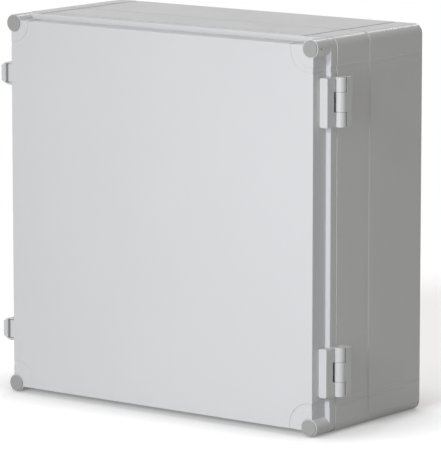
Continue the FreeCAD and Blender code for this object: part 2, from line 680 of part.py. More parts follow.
def make_frame_leaf(name, height):
    """Block on the frame's side, cleared for the outer knuckles, with the middle knuckle."""
    half_length, half_middle = "hinge_length / 2", "middle_knuckle / 2"
    leaf_out = f"({HINGE_X} + knuckle_radius)"
    leaf_start = f"-({PARTING} - frame_leaf_front)"
    leaf_end = f"-({PARTING} - frame_leaf_front - frame_leaf_depth)"
    leaf = new_body(f"{name}_hinge_frame_leaf", z=height)
    pad(leaf, "XY_Plane", f"-{half_length}", half_length, rectangle(HALF_W, leaf_out, leaf_start, leaf_end))
    dress(leaf, "Fillet", "leaf_corner",
          lambda middle, direction: near(middle.x, leaf_out) and near(middle.y, leaf_end))
    dress(leaf, "Fillet", "leaf_edge",
          lambda middle, direction: near(abs(middle.z), half_length) and beyond(middle.x, HALF_W)
          and beyond(middle.y, leaf_start))
    for low, high in ((f"-{half_length} - overrun", f"-{half_middle}"),
                      (half_middle, f"{half_length} + overrun")):
        pocket(leaf, "XY_Plane", low, high, circle(HINGE_X, f"-{HINGE_D}", "knuckle_radius + leaf_clearance"))
    pad(leaf, "XY_Plane", f"-{half_middle}", half_middle, circle(HINGE_X, f"-{HINGE_D}", "knuckle_radius"))
    pad(leaf, "XY_Plane", f"-{half_middle}", half_middle,
        rectangle(f"{HINGE_X} - knuckle_radius", leaf_out, f"-{HINGE_D}", f"{leaf_start} + web_lap"))
    pocket(leaf, "XY_Plane", f"-{half_middle}", half_middle,
           circle(HINGE_X, f"-{HINGE_D}", "hinge_pin_radius + pin_clearance / 2"))
    pocket(leaf, "YZ_Plane", HALF_W, f"{HALF_W} + hinge_screw_length - shell_wall + screw_tip_gap",
           *holes(f"-{FRAME_LEAF_SCREW_D}", LEAF_SCREWS, "hinge_screw_radius"))


def make_hinge(name, height):
    """Two leaves and the pin that joins them."""
    make_door_leaf(name, height)
    make_frame_leaf(name, height)
    half_pin = "(hinge_length / 2 - pin_setback)"
    pin = new_body(f"{name}_hinge_pin", HINGE_X, HINGE_D, height)
    pad(pin, "XY_Plane", f"-{half_pin}", half_pin, circle("0", "0", "hinge_pin_radius"))
    dress(pin, "Chamfer", "pin_setback", lambda middle, direction: near(abs(middle.z), half_pin))


def make_hinge_screws():
    """Screws driven from inside, through the frame's wall and the door's wall into the leaves."""
    part = screw("hinge_screw", "hinge_screw_radius", "hinge_screw_length",
                 "hinge_head_radius", "hinge_head_height")
    group("hinge_frame_screws", part, "left",
          [(f"{HALF_W} - shell_wall", FRAME_LEAF_SCREW_D, z) for z in HINGE_SCREW_Z])
    group("hinge_door_screws", part, "left",
          [(f"{PANEL_X} - door_wall", DOOR_LEAF_SCREW_D, z) for z in HINGE_SCREW_Z])


# ---------------------------------------------------------------- latches
BRACKET_OUTER = f"-({PANEL_X} + bracket_width)"
BRACKET_FRONT = f"-({RIM_FRONT} + bracket_rise)"


def make_bracket(name, height):
    """Block on the door's side that carries the lever's pin."""
    bracket = new_body(f"{name}_latch_bracket", z=height)
    half = "bracket_height / 2"
    pad(bracket, "XY_Plane", f"-{half}", half,
        rectangle(BRACKET_OUTER, f"-{PANEL_X}", f"-{RIM_FRONT}", BRACKET_FRONT))
    dress(bracket, "Fillet", "pivot_radius",
          lambda middle, direction: near(middle.x, BRACKET_OUTER) and near(middle.y, BRACKET_FRONT))
    dress(bracket, "Fillet", "lever_edge",
          lambda middle, direction: near(abs(middle.z), half) and abs(direction.z) < TOLERANCE
          and beyond(-middle.x, PANEL_X) and beyond(-middle.y, RIM_FRONT))
    pocket(bracket, "XY_Plane", f"-{half}", half,
           circle(f"-{PIVOT_X}", f"-{PIVOT_D}", "latch_pin_radius + pin_clearance / 2"))
    pocket(bracket, "YZ_Plane",
           f"-({PANEL_X} + latch_screw_length - door_wall + screw_tip_gap)", f"-{PANEL_X}",
           *holes(f"-{BRACKET_SCREW_D}", ("latch_screw_spread", "-latch_screw_spread"), "latch_screw_radius"))


def make_lever(name, height):
    """Forked lever: two arms about the bracket, a grip that narrows outwards, a hook to the keeper."""
    lever = new_body(f"{name}_latch_lever", z=height)
    half, half_hook = "lever_height / 2", "hook_height / 2"
    slot_half = "(bracket_height / 2 + lever_fork_gap)"
    grip_out, grip_in = f"-({HALF_W} + lever_proud)", f"-({PIVOT_X} + lever_gap)"
    grip_back = f"-({RIM_FRONT} + grip_gap)"
    hook_in = f"-({HALF_W} + keeper_thickness + keeper_bead + hook_clearance)"
    hook_face = f"({hook_in} - hook_nose_reach)"
    hook_out = f"({hook_face} - hook_thickness)"
    hook_end = f"-({PARTING} - hook_reach)"
    pad(lever, "XY_Plane", f"-{half}", half,
        polygon((f"-{PIVOT_X}", BRACKET_FRONT), (grip_out, BRACKET_FRONT),
                (grip_out, f"{grip_back} - lever_lip"), (f"{grip_out} + lever_lip", grip_back),
                (hook_face, grip_back), (hook_face, f"{grip_back} - lever_lip"),
                (f"-{PIVOT_X}", f"-{PIVOT_D} + pivot_radius")))
    pad(lever, "XY_Plane", f"-{half}", half, circle(f"-{PIVOT_X}", f"-{PIVOT_D}", "pivot_radius"))
    pocket(lever, "XY_Plane", f"-{slot_half}", slot_half,
           rectangle(grip_in, f"-{PIVOT_X} + pivot_radius + overrun",
                     f"{BRACKET_FRONT} - overrun", f"{grip_back} + overrun"))
    taper_in, taper_out = f"-{PIVOT_X}", f"{grip_out} - overrun"
    for sign in ("", "-"):
        pocket(lever, "XZ_Plane", f"{RIM_FRONT} - overrun", f"{RIM_FRONT} + bracket_rise + overrun",
               polygon((taper_in, f"{sign}({half} + overrun)"), (taper_in, f"{sign}{half}"),
                       (grip_in, f"{sign}({half} - taper_step)"), (grip_out, f"{sign}lever_tip"),
                       (taper_out, f"{sign}lever_tip"), (taper_out, f"{sign}({half} + overrun)")))
    dress(lever, "Fillet", "lever_edge", lambda middle, direction: near(middle.x, grip_out))
    pad(lever, "XY_Plane", f"-{half_hook}", half_hook,
        polygon((hook_out, f"{grip_back} - hook_root"), (hook_face, f"{grip_back} - hook_root"),
                (hook_face, f"{hook_end} - hook_nose"), (hook_in, f"{hook_end} - hook_nose"),
                (hook_in, f"{hook_end} - hook_nose / 2"), (hook_face, hook_end), (hook_out, hook_end)))
    pocket(lever, "XY_Plane", f"-{half}", half,
           circle(f"-{PIVOT_X}", f"-{PIVOT_D}", "latch_pin_radius + pin_clearance"))


def make_keeper(name, height):
    """Plate on the frame's side with the bead that the hook catches."""
    keeper = new_body(f"{name}_latch_keeper", z=height)
    plate_out = f"-({HALF_W} + keeper_thickness)"
    front, back = f"-({PARTING} - keeper_setback)", f"-({PARTING} - keeper_setback - keeper_length)"
    screws = ("keeper_screw_spread", "-keeper_screw_spread")
    pad(keeper, "XY_Plane", "-keeper_height / 2", "keeper_height / 2",
        rectangle(plate_out, f"-{HALF_W}", front, back))
    pad(keeper, "XY_Plane", "-hook_height / 2", "hook_height / 2",
        rectangle(f"{plate_out} - keeper_bead", plate_out, front, f"{front} + keeper_bead_length"))
    pocket(keeper, "YZ_Plane", plate_out, f"-{HALF_W}",
           *holes(f"-{KEEPER_SCREW_D}", screws, "latch_screw_radius"))
    pocket(keeper, "YZ_Plane", plate_out, f"{plate_out} + keeper_head_height",
           *holes(f"-{KEEPER_SCREW_D}", screws, "latch_head_radius"))


def make_latch(name, height):
    """Bracket and lever on the door, their pivot pin, and the keeper on the frame."""
    make_bracket(name, height)
    make_lever(name, height)
    make_keeper(name, height)
    pin = new_body(f"{name}_latch_pin", f"-{PIVOT_X}", PIVOT_D, height)
    pad(pin, "XY_Plane", "-lever_height / 2", "lever_height / 2", circle("0", "0", "latch_pin_radius"))


def make_latch_screws():
    """Screws into the brackets from inside the door, and into the frame through the keepers."""
    bracket_screw = screw("bracket_screw", "latch_screw_radius", "latch_screw_length",
                          "latch_head_radius", "latch_head_height")
    group("latch_bracket_screws", bracket_screw, "right",
          [(f"door_wall - {PANEL_X}", BRACKET_SCREW_D, z) for z in BRACKET_SCREW_Z])
    keeper_screw = screw("keeper_screw", "latch_screw_radius", "keeper_screw_length",
                         "latch_head_radius", "keeper_head_height")
    group("latch_keeper_screws", keeper_screw, "left",
          [(f"keeper_head_height - keeper_thickness - {HALF_W}", KEEPER_SCREW_D, z) for z in KEEPER_SCREW_Z])


# ---------------------------------------------------------------- fittings inside
def make_mounting_plate():
    """Steel plate with cut corners on four bosses, held by screws in brass inserts."""
    half_x, half_z, cut = PLATE_HALF_X, PLATE_HALF_Z, "plate_corner_cut"
    plate = new_body("mounting_plate")
    pad(plate, "XZ_Plane", PLATE_BACK, PLATE_FRONT,
        polygon((f"{cut} - {half_x}", f"-{half_z}"), (f"{half_x} - {cut}", f"-{half_z}"),
                (half_x, f"{cut} - {half_z}"), (half_x, f"{half_z} - {cut}"),
                (f"{half_x} - {cut}", half_z), (f"{cut} - {half_x}", half_z),
                (f"-{half_x}", f"{half_z} - {cut}"), (f"-{half_x}", f"{cut} - {half_z}")))
    pocket(plate, "XZ_Plane", PLATE_BACK, PLATE_FRONT,
           *at_corners(PLATE_SCREW_X, PLATE_SCREW_Z, "plate_hole_radius"))
    pocket(plate, "XZ_Plane", PLATE_BACK, PLATE_FRONT,
           *[circle(f"{sign}{RAIL_SCREW_X}", "rail_height", "plate_screw_radius + screw_clearance")
             for sign in ("", "-")])

    insert = new_body("plate_insert", is_node=False)
    pad(insert, "XY_Plane", "-insert_length", "0",
        circle("0", "0", "insert_radius"), circle("0", "0", "plate_screw_radius + screw_clearance"))
    places = [(f"{sign_x}{PLATE_SCREW_X}", f"{sign_z}{PLATE_SCREW_Z}") for sign_x, sign_z in CORNERS]
    group("plate_inserts", insert, "front", [(x, PLATE_BACK, z) for x, z in places])
    plate_screw = screw("plate_screw", "plate_screw_radius", "plate_screw_length",
                        "plate_head_radius", "plate_head_height")
    group("plate_screws", plate_screw, "front", [(x, PLATE_FRONT, z) for x, z in places])


def make_terminal_rail():
    """Top-hat rail across the plate, and its two screws."""
    rail = new_body("din_rail", z="rail_height")
    web, inner_web, lip = "rail_channel / 2", "(rail_channel / 2 - rail_sheet)", "rail_width / 2"
    back, floor = f"-{PLATE_FRONT}", f"-({PLATE_FRONT} + rail_sheet)"
    front, under_lip = f"-{RAIL_FRONT}", f"-({RAIL_FRONT} - rail_sheet)"
    pad(rail, "YZ_Plane", f"-{RAIL_HALF}", RAIL_HALF,
        polygon((back, f"-{web}"), (back, web), (under_lip, web), (under_lip, lip), (front, lip),
                (front, inner_web), (floor, inner_web), (floor, f"-{inner_web}"), (front, f"-{inner_web}"),
                (front, f"-{lip}"), (under_lip, f"-{lip}"), (under_lip, f"-{web}")))
    pocket(rail, "XZ_Plane", PLATE_FRONT, f"{PLATE_FRONT} + rail_sheet",
           *[circle(f"{sign}{RAIL_SCREW_X}", "0", "plate_screw_radius + screw_clearance")
             for sign in ("", "-")])
    rail_screw = screw("rail_screw", "plate_screw_radius", "rail_screw_length",
                       "plate_head_radius", "plate_head_height")
    group("rail_screws", rail_screw, "front",
          [(f"{sign}{RAIL_SCREW_X}", f"{PLATE_FRONT} + rail_sheet", "rail_height") for sign in ("", "-")])


def rail_mounted(half_height, shoulder, top, top_half):
    """Outline in depth and height of a housing that clips over both lips of the rail."""
    lip = "(rail_width / 2 + terminal_clearance)"
    under = "(terminal_clearance + rail_sheet)"
    side = [("0", lip), (under, lip), (under, f"{lip} - rail_sheet - terminal_clearance"),
            ("terminal_foot", f"{lip} - terminal_clearance"), ("terminal_foot", f"{lip} + terminal_flare"),
            ("-terminal_flare", half_height), (f"-{shoulder}", half_height), (f"-{top}", top_half)]
    points = [(f"{offset} - {RAIL_FRONT}", z) for offset, z in side]
    points += [(y, f"-({z})") for y, z in reversed(points)]
    return polygon(*points)


def make_terminal(label, x):
    """Feed-through terminal: a slim housing with a conductor entry and a clamp screw hole at each end."""
    body = new_body(label, x=x, z="rail_height")
    pad(body, "YZ_Plane", "-terminal_width / 2", "terminal_width / 2",
        rail_mounted("terminal_half_height", "terminal_shoulder", "terminal_top", "terminal_top_half"))
    entry = circle("0", f"-({RAIL_FRONT} + entry_rise)", "entry_radius")
    pocket(body, "XY_Plane", "terminal_half_height - entry_depth", "terminal_half_height", entry)
    pocket(body, "XY_Plane", "-terminal_half_height", "entry_depth - terminal_half_height", entry)
    top = f"({RAIL_FRONT} + terminal_top)"
    pocket(body, "XZ_Plane", f"{top} - clamp_hole_depth", top,
           *[circle("0", f"{sign}clamp_screw_offset", "clamp_hole_radius") for sign in ("", "-")])


def make_terminal_row():
    """Row of terminals about the middle of the rail, the earth terminal after them, a stop at each end."""
    count = int(value("terminal_count"))
    places = [f"({number} - {count} / 2) * terminal_pitch" for number in range(count + 1)]
    for number, x in enumerate(places[:-1], start=1):
        make_terminal(f"terminal_{number}", x)
    make_terminal("earth_terminal", places[-1])
    clamp_screw = screw("clamp_screw", "clamp_screw_radius", "clamp_screw_length",
                        "clamp_head_radius", "clamp_head_height")
    seat = f"{RAIL_FRONT} + clamp_screw_rise + clamp_screw_length"
    group("terminal_screws", clamp_screw, "front",
          [(x, seat, f"rail_height {sign} clamp_screw_offset") for x in places for sign in ("+", "-")])
    half_row = f"(({count} + 1) / 2 * terminal_pitch + end_stop_width / 2)"
    for label, sign in (("left_end_stop", "-"), ("right_end_stop", "")):
        stop = new_body(label, x=f"{sign}{half_row}", z="rail_height")
        pad(stop, "YZ_Plane", "-end_stop_width / 2", "end_stop_width / 2",
            rail_mounted("end_stop_half_height", "(end_stop_top - end_stop_bevel)", "end_stop_top",
                         "(end_stop_half_height - end_stop_bevel)"))
        stop_top = f"({RAIL_FRONT} + end_stop_top)"
        pocket(stop, "XZ_Plane", f"{stop_top} - clamp_hole_depth", stop_top,
               circle("0", "0", "clamp_hole_radius"))


make_rear_base()
make_extension_frame()
make_frame_seal()
make_frame_screws()
make_door()
make_door_seal()
for cap_side, cap_sign_x in (("left", "-"), ("right", "")):
    for cap_end, cap_sign_z in (("upper", ""), ("lower", "-")):
        make_door_cap(f"{cap_end}_{cap_side}_door_cap", cap_sign_x, cap_sign_z)
make_hinge("upper", HINGE_Z)
make_hinge("lower", f"-{HINGE_Z}")
make_hinge_screws()
make_latch("upper", LATCH_Z)
make_latch("lower", f"-{LATCH_Z}")
make_latch_screws()
make_mounting_plate()
make_terminal_rail()
make_terminal_row()

doc.recompute()
for item in doc.Objects:
    if "Invalid" in item.State or "Error" in item.State:
        raise RuntimeError(f"{item.Label} failed: {item.State}")
for node in NODES:
    if node.Shape.isNull() or not node.Shape.isValid():
        raise RuntimeError(f"{node.Label} has no valid shape")

os.makedirs("parts", exist_ok=True)
for node in NODES:
    node.Shape.exportStep(f"parts/{node.Label}.step")
    print(f"{node.Label}: {len(node.Shape.Solids)} solid(s), {node.Shape.Volume:.0f} mm3")
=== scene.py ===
"""Looks of a wall box for electrical wiring, 400 x 400 x 183 mm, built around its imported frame."""

import math

import bmesh
import bpy
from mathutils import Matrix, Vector


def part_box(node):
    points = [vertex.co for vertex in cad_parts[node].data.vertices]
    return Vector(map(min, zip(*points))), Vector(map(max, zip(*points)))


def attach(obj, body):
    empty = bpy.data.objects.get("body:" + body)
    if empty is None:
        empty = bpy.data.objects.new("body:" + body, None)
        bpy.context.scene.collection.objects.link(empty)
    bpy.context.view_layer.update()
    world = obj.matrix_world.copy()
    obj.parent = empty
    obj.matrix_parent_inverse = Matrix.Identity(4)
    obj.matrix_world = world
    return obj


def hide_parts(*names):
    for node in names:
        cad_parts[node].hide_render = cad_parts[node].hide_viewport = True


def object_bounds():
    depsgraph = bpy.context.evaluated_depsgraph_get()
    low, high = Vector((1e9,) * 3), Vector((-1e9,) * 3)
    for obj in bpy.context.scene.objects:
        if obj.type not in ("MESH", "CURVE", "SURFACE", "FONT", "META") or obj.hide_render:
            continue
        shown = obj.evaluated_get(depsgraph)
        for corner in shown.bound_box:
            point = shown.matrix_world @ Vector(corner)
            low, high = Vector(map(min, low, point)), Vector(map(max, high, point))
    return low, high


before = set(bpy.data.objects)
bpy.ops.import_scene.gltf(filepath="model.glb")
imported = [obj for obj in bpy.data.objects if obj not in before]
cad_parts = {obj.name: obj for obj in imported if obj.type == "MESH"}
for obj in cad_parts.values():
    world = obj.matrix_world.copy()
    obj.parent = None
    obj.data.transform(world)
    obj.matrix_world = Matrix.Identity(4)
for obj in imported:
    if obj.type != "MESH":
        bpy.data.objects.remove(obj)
cad_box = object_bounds()

# ---------------------------------------------------------------- camera
# A long lens a little over four metres off, to the right of the door and a little above it, so
# the door, the hinged side and the top all show and the upright edges stay upright.
CAMERA_AZIMUTH = math.radians(37.235)
CAMERA_ELEVATION = math.radians(9.18)
CAMERA_DISTANCE = 4.223
CAMERA_AIM = Vector((0.0079, -0.0878, -0.0175))
CAMERA_LENS = 322.29
FAR_CLIP = 60.0


def unit_direction(azimuth, elevation):
    """Direction from the box out to something, with azimuth 0 straight in front of the door."""
    flat = math.cos(elevation)
    return Vector((math.sin(azimuth) * flat, -math.cos(azimuth) * flat, math.sin(elevation)))


def add_object(name, data):
    """A new object of the scene."""
    thing = bpy.data.objects.new(name, data)
    bpy.context.scene.collection.objects.link(thing)
    return thing


def point_along(thing, direction):
    """Turns a camera or a lamp to look along a direction."""
    thing.rotation_mode = "QUATERNION"
    thing.rotation_quaternion = direction.to_track_quat("-Z", "Y")


camera_data = bpy.data.cameras.new("camera")
camera_data.lens = CAMERA_LENS
camera_data.clip_end = FAR_CLIP
camera = add_object("camera", camera_data)
towards_camera = unit_direction(CAMERA_AZIMUTH, CAMERA_ELEVATION)
camera.location = CAMERA_AIM + towards_camera * CAMERA_DISTANCE
point_along(camera, -towards_camera)
bpy.context.scene.camera = camera
bpy.context.scene.view_settings.view_transform = "Standard"

# ---------------------------------------------------------------- floor, walls of light and lamps
# The box stands on a white table top in an evenly lit tent. A broad lamp in front and a weak one on
# the left light the door, a panel lamp close to the hinged edge makes that half of it a little
# brighter, and a lamp high at the back puts a thin highlight along the upper corner.
FLOOR_HALF = 20.0
FLOOR_HEIGHT = cad_box[0].z
FLOOR_BOUNCE = (0.60, 0.60, 0.585, 1.0)
FLOOR_LIT = 1.17
FLOOR_LIFT = 0.42
CORNER_SHADOW = 0.80
CORNER_SHADOW_LEAST = 0.58
CORNER_SHADOW_REACH = 0.11
CORNER_SHADOW_SAMPLES = 8
SHADOW_REACH = 0.55
WHITE_FROM = 1.3
TENT_COLOUR = (0.278, 0.268, 0.252, 1.0)
WHITE = (1.0, 1.0, 1.0, 1.0)
LAMPS = {
    "front_lamp": {"azimuth": 1.0, "elevation": 26.0, "level": 0.330, "spread": 10.0},
    "left_lamp": {"azimuth": -60.0, "elevation": 36.0, "level": 0.08, "spread": 24.0},
    "back_lamp": {"azimuth": -167.0, "elevation": 38.0, "level": 0.10, "spread": 9.0},
}
PANEL_LAMP_PLACE = Vector((0.27, -0.98, 0.16))
PANEL_LAMP_AIM = Vector((0.16, -0.18, 0.02))
PANEL_LAMP_SIDE = 0.30
PANEL_LAMP_WATTS = 2.5
LAMP_COLOUR = (0.954, 0.964, 1.0)


def add_node(tree, kind, **settings):
    """A new shader node with its settings."""
    node = tree.nodes.new(kind)
    for setting, value in settings.items():
        setattr(node, setting, value)
    return node


def feed(tree, value, socket):
    """Gives an input its value, which is another node's output, a number or a colour."""
    if isinstance(value, bpy.types.NodeSocket):
        tree.links.new(value, socket)
    else:
        socket.default_value = value


def math_node(tree, operation, *values, clamp=False):
    """The output of a Math node."""
    node = add_node(tree, "ShaderNodeMath", operation=operation, use_clamp=clamp)
    for value, socket in zip(values, node.inputs):
        feed(tree, value, socket)
    return node.outputs["Value"]


def mix_shaders(tree, *sources):
    """The output of a Mix Shader node. The sources are the amount and two shaders."""
    node = add_node(tree, "ShaderNodeMixShader")
    for source, socket in zip(sources, node.inputs):
        tree.links.new(source, socket)
    return node.outputs["Shader"]


def seen_directly(tree):
    """1 for what the camera sees itself, in a mirror or through glass, and 0 for what only gives light."""
    path = add_node(tree, "ShaderNodeLightPath")
    mirrored = math_node(tree, "MAXIMUM", path.outputs["Is Camera Ray"], path.outputs["Is Glossy Ray"])
    return math_node(tree, "MAXIMUM", mirrored, path.outputs["Is Transmission Ray"])


def bare_material(name):
    """A new material and its node tree, which is empty."""
    material = bpy.data.materials.new(name)
    material.use_nodes = True
    material.node_tree.nodes.clear()
    return material, material.node_tree


world = bpy.data.worlds.new("light_tent")
world.use_nodes = True
tent = world.node_tree
tent.nodes.clear()
tent_light = add_node(tent, "ShaderNodeBackground")
tent_light.inputs["Color"].default_value = TENT_COLOUR
tent_white = add_node(tent, "ShaderNodeBackground")
tent_white.inputs["Color"].default_value = WHITE
tent_seen = mix_shaders(tent, seen_directly(tent), tent_light.outputs["Background"],
                        tent_white.outputs["Background"])
tent_out = add_node(tent, "ShaderNodeOutputWorld")
tent.links.new(tent_seen, tent_out.inputs["Surface"])
bpy.context.scene.world = world

floor_corners = [(x * FLOOR_HALF, y * FLOOR_HALF, FLOOR_HEIGHT)
                 for x, y in ((-1, -1), (1, -1), (1, 1), (-1, 1))]
floor_mesh = bpy.data.meshes.new("floor")
floor_mesh.from_pydata(floor_corners, [], [range(len(floor_corners))])
floor = add_object("floor", floor_mesh)
floor_material, floor_tree = bare_material("floor_white")
floor_mesh.materials.append(floor_material)
floor_bounce = add_node(floor_tree, "ShaderNodeBsdfDiffuse")
floor_bounce.inputs["Color"].default_value = FLOOR_BOUNCE
floor_corner = add_node(floor_tree, "ShaderNodeAmbientOcclusion", samples=CORNER_SHADOW_SAMPLES)
floor_corner.inputs["Distance"].default_value = CORNER_SHADOW_REACH
corner_shade = math_node(floor_tree, "MULTIPLY_ADD", floor_corner.outputs["AO"], CORNER_SHADOW,
                         1.0 - CORNER_SHADOW)
corner_shade = math_node(floor_tree, "MAXIMUM", corner_shade, CORNER_SHADOW_LEAST)
floor_tone = add_node(floor_tree, "ShaderNodeCombineColor")
corner_lit = math_node(floor_tree, "MULTIPLY", corner_shade, FLOOR_LIT)
for channel in ("Red", "Green", "Blue"):
    floor_tree.links.new(corner_lit, floor_tone.inputs[channel])
floor_lit = add_node(floor_tree, "ShaderNodeBsdfDiffuse")
floor_tree.links.new(floor_tone.outputs["Color"], floor_lit.inputs["Color"])
floor_lift = add_node(floor_tree, "ShaderNodeEmission")
corner_lift = math_node(floor_tree, "MULTIPLY", corner_shade, FLOOR_LIFT)
floor_tree.links.new(corner_lift, floor_lift.inputs["Strength"])
floor_shaded = add_node(floor_tree, "ShaderNodeAddShader")
floor_tree.links.new(floor_lit.outputs["BSDF"], floor_shaded.inputs[0])
floor_tree.links.new(floor_lift.outputs["Emission"], floor_shaded.inputs[1])
floor_plain = add_node(floor_tree, "ShaderNodeEmission")
floor_place = add_node(floor_tree, "ShaderNodeTexCoord")
floor_distance = add_node(floor_tree, "ShaderNodeVectorMath", operation="LENGTH")
floor_tree.links.new(floor_place.outputs["Object"], floor_distance.inputs[0])
floor_fade = add_node(floor_tree, "ShaderNodeMapRange", interpolation_type="SMOOTHSTEP")
floor_fade.inputs["From Min"].default_value = SHADOW_REACH
floor_fade.inputs["From Max"].default_value = WHITE_FROM
floor_tree.links.new(floor_distance.outputs["Value"], floor_fade.inputs["Value"])
floor_seen = mix_shaders(floor_tree, floor_fade.outputs["Result"], floor_shaded.outputs["Shader"],
                         floor_plain.outputs["Emission"])
floor_all = mix_shaders(floor_tree, seen_directly(floor_tree), floor_bounce.outputs["BSDF"], floor_seen)
floor_out = add_node(floor_tree, "ShaderNodeOutputMaterial")
floor_tree.links.new(floor_all, floor_out.inputs["Surface"])

for lamp_name, values in LAMPS.items():
    lamp_data = bpy.data.lights.new(lamp_name, "SUN")
    lamp_data.energy = values["level"] * math.pi
    lamp_data.angle = math.radians(values["spread"])
    lamp_data.color = LAMP_COLOUR
    lamp = add_object(lamp_name, lamp_data)
    point_along(lamp, -unit_direction(math.radians(values["azimuth"]), math.radians(values["elevation"])))

panel_lamp_data = bpy.data.lights.new("panel_lamp", "AREA")
panel_lamp_data.size = PANEL_LAMP_SIDE
panel_lamp_data.energy = PANEL_LAMP_WATTS
panel_lamp_data.color = LAMP_COLOUR
panel_lamp = add_object("panel_lamp", panel_lamp_data)
panel_lamp.location = PANEL_LAMP_PLACE
point_along(panel_lamp, PANEL_LAMP_AIM - PANEL_LAMP_PLACE)
panel_lamp.visible_camera = False

# ---------------------------------------------------------------- enclosure: base, extension frame, door
# Three mouldings in the same light grey plastic with a fine satin grain. The frame screws onto the
# base and the door closes on the frame's tongue. Edges left by the mould are softened all round and
# carry a painted highlight, and a painted highlight of lighter grey runs along the front lip of the
# base and the frame and along the lips of their grooves.
ENCLOSURE_GREY = (0.690, 0.700, 0.712, 1.0)
# Painted highlight: the lighter grey laid along the edges of the mouldings.
ENCLOSURE_EDGE_HIGHLIGHT = (0.800, 0.805, 0.810, 1.0)
ENCLOSURE_ROUGHNESS = 0.34
ENCLOSURE_GRAIN = 0.0006
DOOR_EDGE_RADIUS = 0.0007
BODY_EDGE_RADIUS = 0.0006
EDGE_SAMPLES = 6
EDGE_CONTRAST = 4.0
PLASTIC_IOR = 1.46
GRAIN_DEPTH = 0.00002
MOTTLE_PER_METRE = 9.0
MOTTLE_SHADE = 0.04
DUST_GREY = (0.80, 0.79, 0.76, 1.0)
DUST_PER_METRE = 60.0
DUST_AMOUNT = 0.10
TOUCH_PER_METRE = 22.0
TOUCH_ROUGHNESS = 0.16
NOISE_MIDDLE = 0.5
BODY_LIPS = {
    "rear_base": {"front": 0.095, "width": 0.0034},
    "extension_frame": {"front": 0.150, "width": 0.0018},
}
# Painted highlight: the lighter grey of the front lip and of the groove lips, and its strength on the groove
# lips.
LIP_HIGHLIGHT_GREY = (0.86, 0.865, 0.87, 1.0)
LIP_DROP = 0.0022
GROOVE_LIPS = (0.1660, 0.1715)
GROOVE_LIP_HALF = 0.00035
GROOVE_LIP_HIGHLIGHT = 0.7
NUMBER = "NodeSocketFloat"
MIX_AMOUNT, MIX_FIRST, MIX_SECOND, MIX_RESULT = 0, 6, 7, 2
PLAIN_COLOUR = "plain_colour"


def new_group(name, inputs, outputs):
    """An empty shader node group with number inputs and typed outputs."""
    group = bpy.data.node_groups.new(name, "ShaderNodeTree")
    for label in inputs:
        group.interface.new_socket(name=label, in_out="INPUT", socket_type=NUMBER)
    for label, kind in outputs.items():
        group.interface.new_socket(name=label, in_out="OUTPUT", socket_type=kind)
    return group, add_node(group, "NodeGroupInput"), add_node(group, "NodeGroupOutput")


def noise_node(tree, place, scale, detail=2.0, distortion=0.0):
    """A noise texture read at a place, with so many lumps to the metre."""
    noise = add_node(tree, "ShaderNodeTexNoise")
    noise.inputs["Detail"].default_value = detail
    noise.inputs["Distortion"].default_value = distortion
    feed(tree, scale, noise.inputs["Scale"])
    tree.links.new(place, noise.inputs["Vector"])
    return noise


rounded_edge, edge_in, edge_out = new_group("rounded_edge", ["Radius"],
                                            {"Normal": "NodeSocketVector", "Edge": NUMBER})
edge_bevel = add_node(rounded_edge, "ShaderNodeBevel", samples=EDGE_SAMPLES)
edge_face = add_node(rounded_edge, "ShaderNodeNewGeometry")
edge_turn = add_node(rounded_edge, "ShaderNodeVectorMath", operation="DOT_PRODUCT")
rounded_edge.links.new(edge_in.outputs["Radius"], edge_bevel.inputs["Radius"])
rounded_edge.links.new(edge_bevel.outputs["Normal"], edge_turn.inputs[0])
rounded_edge.links.new(edge_face.outputs["Normal"], edge_turn.inputs[1])
edge_mask = math_node(rounded_edge, "SUBTRACT", 1.0, edge_turn.outputs["Value"])
edge_mask = math_node(rounded_edge, "MULTIPLY", edge_mask, EDGE_CONTRAST, clamp=True)
rounded_edge.links.new(edge_bevel.outputs["Normal"], edge_out.inputs["Normal"])
rounded_edge.links.new(edge_mask, edge_out.inputs["Edge"])

moulded_grain, grain_in, grain_out = new_group("moulded_grain", ["Size"],
                                               {"Height": NUMBER, "Mottle": NUMBER})
grain_place = add_node(moulded_grain, "ShaderNodeTexCoord").outputs["Object"]
grain_scale = math_node(moulded_grain, "DIVIDE", 1.0, grain_in.outputs["Size"])
grain_noise = noise_node(moulded_grain, grain_place, grain_scale)
mottle_noise = noise_node(moulded_grain, grain_place, MOTTLE_PER_METRE, detail=4.0)
moulded_grain.links.new(grain_noise.outputs["Fac"], grain_out.inputs["Height"])
moulded_grain.links.new(mottle_noise.outputs["Fac"], grain_out.inputs["Mottle"])

# Masks for the front lip, which gets a bump and a painted highlight, and for the groove lips, which get only
# a painted highlight.
lip_highlight_masks, lines_in, lines_out = new_group("lip_highlight_masks", ["Front", "Width", "Groove"],
                                             {"Lip": NUMBER, "Line": NUMBER})
lines_place = add_node(lip_highlight_masks, "ShaderNodeTexCoord")
lines_axes = add_node(lip_highlight_masks, "ShaderNodeSeparateXYZ")
lip_highlight_masks.links.new(lines_place.outputs["Object"], lines_axes.inputs["Vector"])
lip_distance = math_node(lip_highlight_masks, "ADD", lines_axes.outputs["Y"], lines_in.outputs["Front"])
lip_share = math_node(lip_highlight_masks, "DIVIDE", lip_distance, lines_in.outputs["Width"])
lip_mask = math_node(lip_highlight_masks, "SUBTRACT", 1.0, lip_share, clamp=True)
line_height = math_node(lip_highlight_masks, "ABSOLUTE", lines_axes.outputs["Z"])
line_masks = []
for line_at in GROOVE_LIPS:
    line_off = math_node(lip_highlight_masks, "ABSOLUTE", math_node(lip_highlight_masks, "SUBTRACT", line_height, line_at))
    line_masks.append(math_node(lip_highlight_masks, "LESS_THAN", line_off, lines_in.outputs["Groove"]))
lip_highlight_masks.links.new(lip_mask, lines_out.inputs["Lip"])
lip_highlight_masks.links.new(math_node(lip_highlight_masks, "MAXIMUM", *line_masks), lines_out.inputs["Line"])

